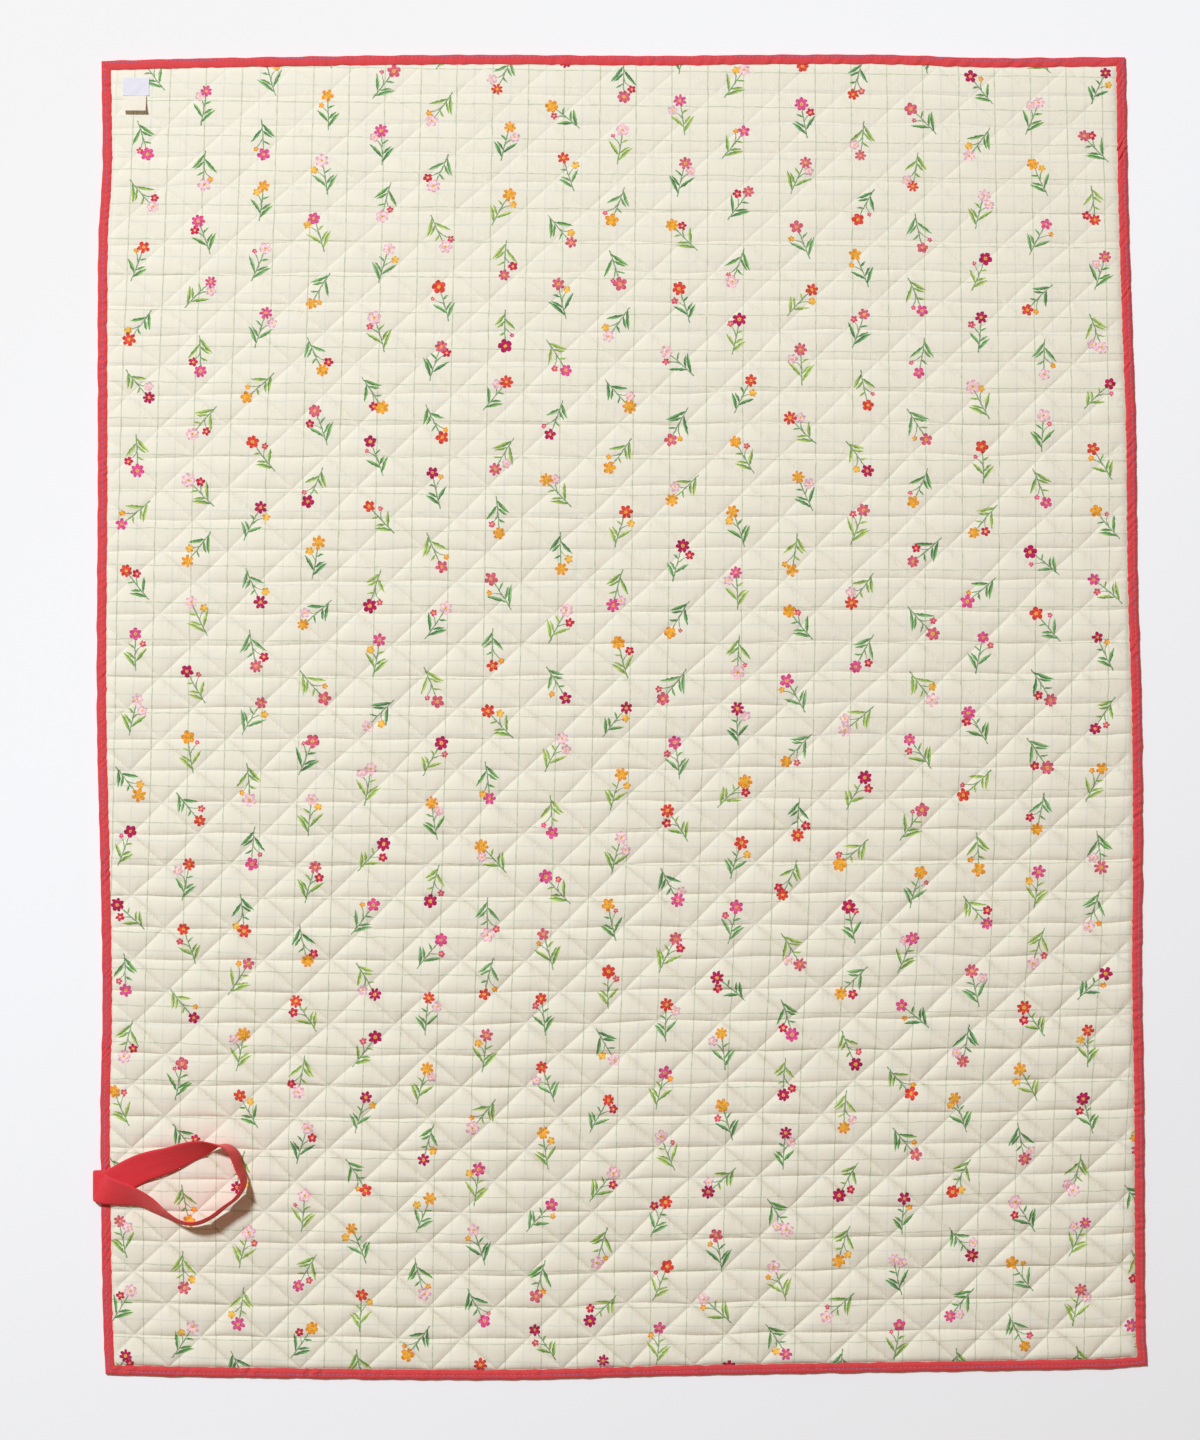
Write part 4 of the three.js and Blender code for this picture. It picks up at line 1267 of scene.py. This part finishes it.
def edge_run():
    """Stations round the quilt: which side, share along it, and distance run, anticlockwise."""
    counts = [round(length / BINDING_STEP) for length in SIDE_LENGTHS]
    shares = [np.arange(count) / count for count in counts]
    starts = np.cumsum((0.0, *SIDE_LENGTHS))
    run = [start + share * length for start, share, length in zip(starts, shares, SIDE_LENGTHS)]
    return np.repeat(np.arange(4), counts), np.concatenate(shares), np.concatenate(run), starts[-1]


def inset_place(side, share, inset):
    """A place on the cloth at an inset from the edge, with mitred corners."""
    wide = inset + share * (QUILT_WIDTH - 2 * inset)
    long = inset + share * (QUILT_LENGTH - 2 * inset)
    across = np.choose(side, (wide, QUILT_WIDTH - inset, QUILT_WIDTH - wide, inset))
    along = np.choose(side, (inset, long, QUILT_LENGTH - inset, QUILT_LENGTH - long))
    return across, along


def sewn_line(side, share):
    """Inset of the topstitching from the edge."""
    return np.choose(side, [table_curve(rows)(share) for rows in SEWN_LINES])


def beside_sewing(inset, line, inner):
    """A section's inset after the row of sewing, with the cloth on both sides of it, has moved."""
    beyond = line + (inset - SEWN_INSET) * (inner - line) / (inner - SEWN_INSET)
    return inset * line / SEWN_INSET if inset < SEWN_INSET else beyond


def binding_wrinkle(side, run, inset):
    """Wrinkling of the binding, about -1 to 1."""
    spell = 0.4 + 0.8 * smoothstep(wrinkle_spells(run, 0 * run), -0.6, 1.4)
    slanting = side_wrinkles(run, inset)
    level = 0.75 * level_wrinkles(run, inset)
    return spell * np.where(side % 2 == 1, slanting, level)


class PLAYQUILT_OT_binding(bpy.types.Operator):
    """Folds the red binding round the edge"""

    bl_idname = "play_quilt.binding"
    bl_label = "Binding"

    def execute(self, context):
        settings = context.scene.play_quilt_binding
        side, share, run, total = edge_run()
        corner_hold = smoothstep(np.minimum(share, 1 - share), 0.0, CORNER_REACH)
        inner = BINDING_SECTION[0][0]
        widen = settings.width / MM / inner
        line = sewn_line(side, share)
        fall = np.choose(side, INNER_FALL)
        columns = []
        for inset, height, loose in BINDING_SECTION:
            over = height > ON_FACE
            placed = beside_sewing(inset, line, inner) if over else np.full(len(run), inset)
            reach = placed * widen
            if inset > INNER_EDGE and over:
                reach = reach + INNER_WAVER * corner_hold * inner_waver(run, 0 * run)
            elif inset < OUTER_EDGE:
                reach = reach - OUTER_WAVER * corner_hold * (1 + outer_waver(run, 0 * run))
            x, y = lay(*inset_place(side, share, reach))
            crease = loose * settings.wrinkle / MM * binding_wrinkle(side, run, reach)
            drop = fall * smoothstep(inset, *FALL_REACH) if height > ON_TOP else 0.0
            columns.append(np.stack((x, y, height + crease * over - drop), -1))
        sections = np.stack(columns, 1)
        turn = run_along(np.array(BINDING_SECTION)[:, :2])
        turn_closed = np.r_[turn, turn[-1] + 0.4]
        quads, places = swept(sections, np.r_[run, total], turn_closed, closed_along=True)
        material = plain_cotton(
            "Red cotton",
            settings.cloth,
            pitch=0.6,
            roughness=0.85,
            sheen=0.1,
            mottling=0.16,
            relief=0.00014,
        )
        piece = new_piece("binding_cloth", sections.reshape(-1, 3), quads, places, material, True)
        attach(piece, "root")
        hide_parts("binding")
        return {"FINISHED"}


class PLAYQUILT_OT_topstitching(bpy.types.Operator):
    """Sews the row of topstitching along the binding"""

    bl_idname = "play_quilt.topstitching"
    bl_label = "Topstitching"

    def execute(self, context):
        settings = context.scene.play_quilt_binding
        pitch = settings.stitch_pitch / MM
        moved = settings.stitch_inset / MM - SEWN_INSET
        stitch = modelled_stitch(8, 5, settings.stitch_length / MM, *STITCH_SECTION)
        centres, ahead = [], []
        for number, length in enumerate(SIDE_LENGTHS):
            count = round((length - 2 * SEWN_INSET) / pitch)
            share = (np.arange(count) + 0.5) / count
            side = np.full(count, number)
            run = number * 1000.0 + share * length
            line = sewn_line(side, share) + moved + STITCH_WAVER * outer_waver(run, 40.0 + 0 * run)
            centres.append(np.stack(lay(*inset_place(side, share, line)), -1))
            next_place = inset_place(side, share + 1.0 / length, line + STITCH_SLANT)
            ahead.append(np.stack(lay(*next_place), -1))
        centres = np.concatenate(centres)
        heading = unit(np.concatenate(ahead) - centres)
        level = np.full(len(centres), STITCH_LEVEL)
        piece = sewn_row(
            "binding_topstitch",
            stitch,
            np.column_stack((centres, level)),
            np.column_stack((heading, 0 * level)),
            twisted_thread("Mauve thread", settings.thread),
        )
        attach(piece, "root")
        return {"FINISHED"}


def rounded_line(points, samples):
    """Points and directions along a centripetal curve through the given ones, at shares of its knots."""
    points = np.asarray(points, float)
    padded = np.vstack((2 * points[0] - points[1], points, 2 * points[-1] - points[-2]))

    def at(places):
        i = np.clip(np.floor(places).astype(int), 0, len(points) - 2)
        t = (places - i)[:, None]
        p0, p1, p2, p3 = (padded[i + k] for k in range(4))
        d0, d1, d2 = (
            np.maximum(np.linalg.norm(b - a, axis=1) ** 0.5, 1e-4)[:, None]
            for a, b in ((p0, p1), (p1, p2), (p2, p3))
        )
        m1 = ((p1 - p0) / d0 - (p2 - p0) / (d0 + d1) + (p2 - p1) / d1) * d1
        m2 = ((p2 - p1) / d1 - (p3 - p1) / (d1 + d2) + (p3 - p2) / d2) * d1
        cube = 2 * p1 - 2 * p2 + m1 + m2
        square = -3 * p1 + 3 * p2 - 2 * m1 - m2
        return p1 + m1 * t + square * t**2 + cube * t**3

    last = len(points) - 1
    nudge = 1e-3
    ahead = at(np.clip(samples + nudge, 0, last))
    behind = at(np.clip(samples - nudge, 0, last))
    return at(samples), unit(ahead - behind)


STRAP_FOLD_STEPS = 8
STRAP_STEP = 1.8
STRAP_ROWS = 13
SELVEDGE = 1.2  # mm over which the webbing thins to its edge
SELVEDGE_SHARE = 0.45


def strap_outline(width, thickness):
    """The webbing's section as a closed row of points: across and through."""
    across = np.linspace(-0.5, 0.5, STRAP_ROWS) * width
    edge = np.minimum(across + width / 2, width / 2 - across)
    half = thickness / 2 * (SELVEDGE_SHARE + (1 - SELVEDGE_SHARE) * smoothstep(edge, 0.0, SELVEDGE))
    lower = np.column_stack((across, -half))
    upper = np.column_stack((across[::-1], half[::-1]))
    return np.concatenate((lower, upper))


def strap_fold(edge, overhang_turn, radius, middle):
    """Half a turn over the quilt's edge, from the sewn end up to the face."""
    angles = np.arange(STRAP_FOLD_STEPS + 1) / STRAP_FOLD_STEPS * np.pi
    turn = [
        (overhang_turn - radius * math.sin(a), STRAP_CENTRE_Y, middle - radius * math.cos(a))
        for a in angles
    ]
    return [(edge - STRAP_LAYER_GAP, STRAP_CENTRE_Y, middle - radius), *turn]


def strap_knots(edge, width, thickness):
    """Places along the webbing's middle from sewn end to sewn end, the lean at each, and where it is free.

    The free part is given by the number of its first place and of the first one after it."""
    outer = STRAP_FOLD_RADIUS + thickness + STRAP_LAYER_GAP
    middle = outer + thickness / 2 + STRAP_CLEARANCE
    turn = edge - STRAP_OVERHANG + outer + thickness / 2
    inner_fold = strap_fold(edge, turn, STRAP_FOLD_RADIUS, middle)
    outer_fold = strap_fold(edge, turn, outer, middle)[::-1]
    laid = []
    for reach, rise, lean, lift in STRAP_STATIONS:
        tilt = math.radians(lean)
        half = (width * math.sin(tilt) + thickness * abs(math.cos(tilt))) / 2
        laid.append((edge + reach, STRAP_CENTRE_Y + rise, PUFF_HEIGHT + lift + half))
    leans = [0.0] * len(inner_fold) + [row[2] for row in STRAP_STATIONS] + [180.0] * len(outer_fold)
    free = (len(inner_fold), len(inner_fold) + len(laid))
    return np.array([*inner_fold, *laid, *outer_fold]), leans, free


def strap_sections(knots, leans, free, outline):
    """The webbing's outline at close steps along a rounded line through the knots, and the run to each."""
    samples = []
    for i, gap in enumerate(np.linalg.norm(np.diff(knots, axis=0), axis=1)):
        steps = max(2, round(gap / STRAP_STEP))
        samples += [i + s / steps for s in range(steps)]
    samples = np.array([*samples, len(knots) - 1.0])
    centre, heading = rounded_line(knots, samples)
    level = unit(heading[:, :2])
    tilt = np.radians(table_curve(tuple(enumerate(leans)))(samples))
    across = np.column_stack(
        (-level[:, 1] * np.cos(tilt), level[:, 0] * np.cos(tilt), np.sin(tilt))
    )
    across[(samples <= free[0] - 1) | (samples >= free[1])] = (0.0, 1.0, 0.0)
    across = unit(across - heading * (across * heading).sum(1, keepdims=True))
    facing = np.cross(heading, across)
    sections = (
        centre[:, None]
        + outline[None, :, 0:1] * across[:, None]
        + outline[None, :, 1:2] * facing[:, None]
    )
    return sections, run_along(centre)


class PLAYQUILT_OT_carry_loop(bpy.types.Operator):
    """Lays the webbing carry loop over the quilt's left edge"""

    bl_idname = "play_quilt.carry_loop"
    bl_label = "Carry loop"

    def execute(self, context):
        settings = context.scene.play_quilt_strap
        width = settings.width / MM
        thickness = settings.thickness / MM
        along_edge = STRAP_CENTRE_Y - PANEL_CENTRE[1] + QUILT_LENGTH / 2
        edge = min(float(lay(0.0, along_edge + s * width)[0]) for s in (-0.5, 0.0, 0.5))
        outline = strap_outline(width, thickness)
        sections, run = strap_sections(*strap_knots(edge, width, thickness), outline)
        turn = np.r_[outline[:, 0], outline[0, 0]]
        quads, places = swept(sections, run, turn, closed_along=False)
        corners = len(outline)
        ends, end_places = [], []
        for station, order in ((0, -1), (len(run) - 1, 1)):
            for i in range(corners // 2 - 1):
                quad = [i, i + 1, corners - 2 - i, corners - 1 - i][::order]
                ends.append([station * corners + corner for corner in quad])
                end_places.append([(run[station], turn[corner]) for corner in quad])
        piece = new_piece(
            "carry_loop_webbing",
            sections.reshape(-1, 3),
            np.concatenate((quads, ends)),
            np.concatenate((places, end_places)),
            webbing_cotton(settings),
            True,
        )
        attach(piece, "root")
        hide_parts("carry_strap")
        return {"FINISHED"}


def label_sheet(name, upper, thickness, material):
    """A thin closed sheet under a grid of points in mm, [row, column, xyz], rows going up."""
    rows, columns = upper.shape[:2]
    lower = upper - (0.0, 0.0, thickness)
    count = rows * columns
    number = np.arange(count).reshape(rows, columns)
    top = (number[:-1, :-1], number[:-1, 1:], number[1:, 1:], number[1:, :-1])
    top = np.stack(top, -1).reshape(-1, 4)
    rim = np.concatenate((number[0, :-1], number[:-1, -1], number[-1, :0:-1], number[:0:-1, 0]))
    following = np.roll(rim, -1)
    sides = np.stack((rim + count, following + count, following, rim), -1)
    faces = np.concatenate((top, top[:, ::-1] + count, sides))
    points = np.concatenate((upper.reshape(-1, 3), lower.reshape(-1, 3)))
    piece = new_piece(name, points, faces, points[:, :2], material)
    select_only(piece)
    bpy.ops.object.shade_smooth_by_angle(angle=math.radians(LABEL_SHARP_ANGLE))
    return piece


WHITE_FROM_LEFT = 37.0
WHITE_FROM_TOP = 28.7
CARE_OFF_CENTRE = -1.0
CARE_LIFT = 8.0
LABEL_GAP = 0.3
LABEL_SHARP_ANGLE = 50
LABEL_REST = 3.5  # mm round a place over whose highest point a label lies
LABEL_CLEARANCE = 0.15
CURL_RISE = 0.12
TAB_CLEARANCE = 0.1
TAB_CUP = 0.9  # mm that the tab's free corners hang below its middle
WHITE_GRID = (29, 20)  # points across and along each label
CARE_GRID = (25, 19)
label_curl = waves(41, 6, 12.0, 30.0)


class PLAYQUILT_OT_labels(bpy.types.Operator):
    """Sews the white label flat and the cream tab under its lower edge"""

    bl_idname = "play_quilt.labels"
    bl_label = "Labels"

    def execute(self, context):
        settings = context.scene.play_quilt_labels
        panel = context.scene.play_quilt_panel
        thickness = settings.thickness / MM
        width = settings.white_width / MM
        height = settings.white_height / MM
        middle_along = QUILT_LENGTH - WHITE_FROM_TOP
        middle_x, middle_y = lay(WHITE_FROM_LEFT, middle_along)

        def over(off_x, off_y):
            """The highest of the padding close to a place, given from the white label's middle."""
            round_about = (-LABEL_REST, 0.0, LABEL_REST)
            levels = [
                height_over(WHITE_FROM_LEFT + off_x + dx, middle_along + off_y + dy, panel)
                for dx in round_about
                for dy in round_about
            ]
            return np.max(levels, axis=0)

        off_x, off_y = np.meshgrid(
            np.linspace(-width / 2, width / 2, WHITE_GRID[0]),
            np.linspace(-height / 2, height / 2, WHITE_GRID[1]),
        )
        curl = CURL_RISE * label_curl(off_x, off_y)
        lift = over(off_x, off_y) + thickness + LABEL_CLEARANCE + curl
        upper = np.stack((middle_x + off_x, middle_y + off_y, lift), -1)
        white = label_sheet(
            "white_label_satin", upper, thickness, satin_cloth("White satin", settings.satin, 0.6)
        )
        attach(white, "root")
        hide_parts("white_label")

        tab_width = settings.care_width / MM
        length = settings.care_length / MM
        off_x, down = np.meshgrid(
            np.linspace(-tab_width / 2, tab_width / 2, CARE_GRID[0]),
            np.linspace(length, 0.0, CARE_GRID[1]),
        )
        share = down / length
        base = float(np.max(over(off_x + CARE_OFF_CENTRE, -height / 2 - down)))
        rise = CARE_LIFT * (share + share * share) / 2
        cup = TAB_CUP * share * (2 * off_x / tab_width) ** 2
        curl = CURL_RISE * label_curl(off_x + 60, down)
        upper = np.stack(
            (
                middle_x + CARE_OFF_CENTRE + off_x,
                middle_y - height / 2 - LABEL_GAP - down,
                base + thickness + TAB_CLEARANCE + rise - cup + curl,
            ),
            -1,
        )
        tab = label_sheet(
            "care_label_tape", upper, thickness, satin_cloth("Cream tape", settings.tape, -0.4)
        )
        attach(tab, "root")
        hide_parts("care_label")
        return {"FINISHED"}


PIECE_OPERATORS = (
    PLAYQUILT_OT_stage,
    PLAYQUILT_OT_panel,
    PLAYQUILT_OT_binding,
    PLAYQUILT_OT_topstitching,
    PLAYQUILT_OT_carry_loop,
    PLAYQUILT_OT_labels,
)
SETTINGS = {
    "play_quilt_stage": StageSettings,
    "play_quilt_panel": PanelSettings,
    "play_quilt_binding": BindingSettings,
    "play_quilt_strap": StrapSettings,
    "play_quilt_labels": LabelSettings,
}


class PLAYQUILT_PT_pieces(bpy.types.Panel):
    """Lists the quilt's pieces and their settings"""

    bl_idname = "PLAYQUILT_PT_pieces"
    bl_label = "Play Quilt"
    bl_space_type = "VIEW_3D"
    bl_region_type = "UI"
    bl_category = "Play Quilt"

    def draw(self, context):
        layout = self.layout
        for operator in PIECE_OPERATORS:
            layout.operator(operator.bl_idname)
        for name, group in SETTINGS.items():
            box = layout.box()
            box.label(text=group.__doc__)
            for field in group.__annotations__:
                box.prop(getattr(context.scene, name), field)


CLASSES = (*SETTINGS.values(), *PIECE_OPERATORS, PLAYQUILT_PT_pieces)


def register():
    for cls in CLASSES:
        bpy.utils.register_class(cls)
    for name, group in SETTINGS.items():
        setattr(bpy.types.Scene, name, bpy.props.PointerProperty(type=group))


def unregister():
    for name in SETTINGS:
        delattr(bpy.types.Scene, name)
    for cls in reversed(CLASSES):
        bpy.utils.unregister_class(cls)


def main():
    register()
    bpy.ops.play_quilt.stage()
    bpy.ops.play_quilt.panel()
    bpy.ops.play_quilt.binding()
    bpy.ops.play_quilt.topstitching()
    bpy.ops.play_quilt.carry_loop()
    bpy.ops.play_quilt.labels()


if __name__ == "__main__":
    main()
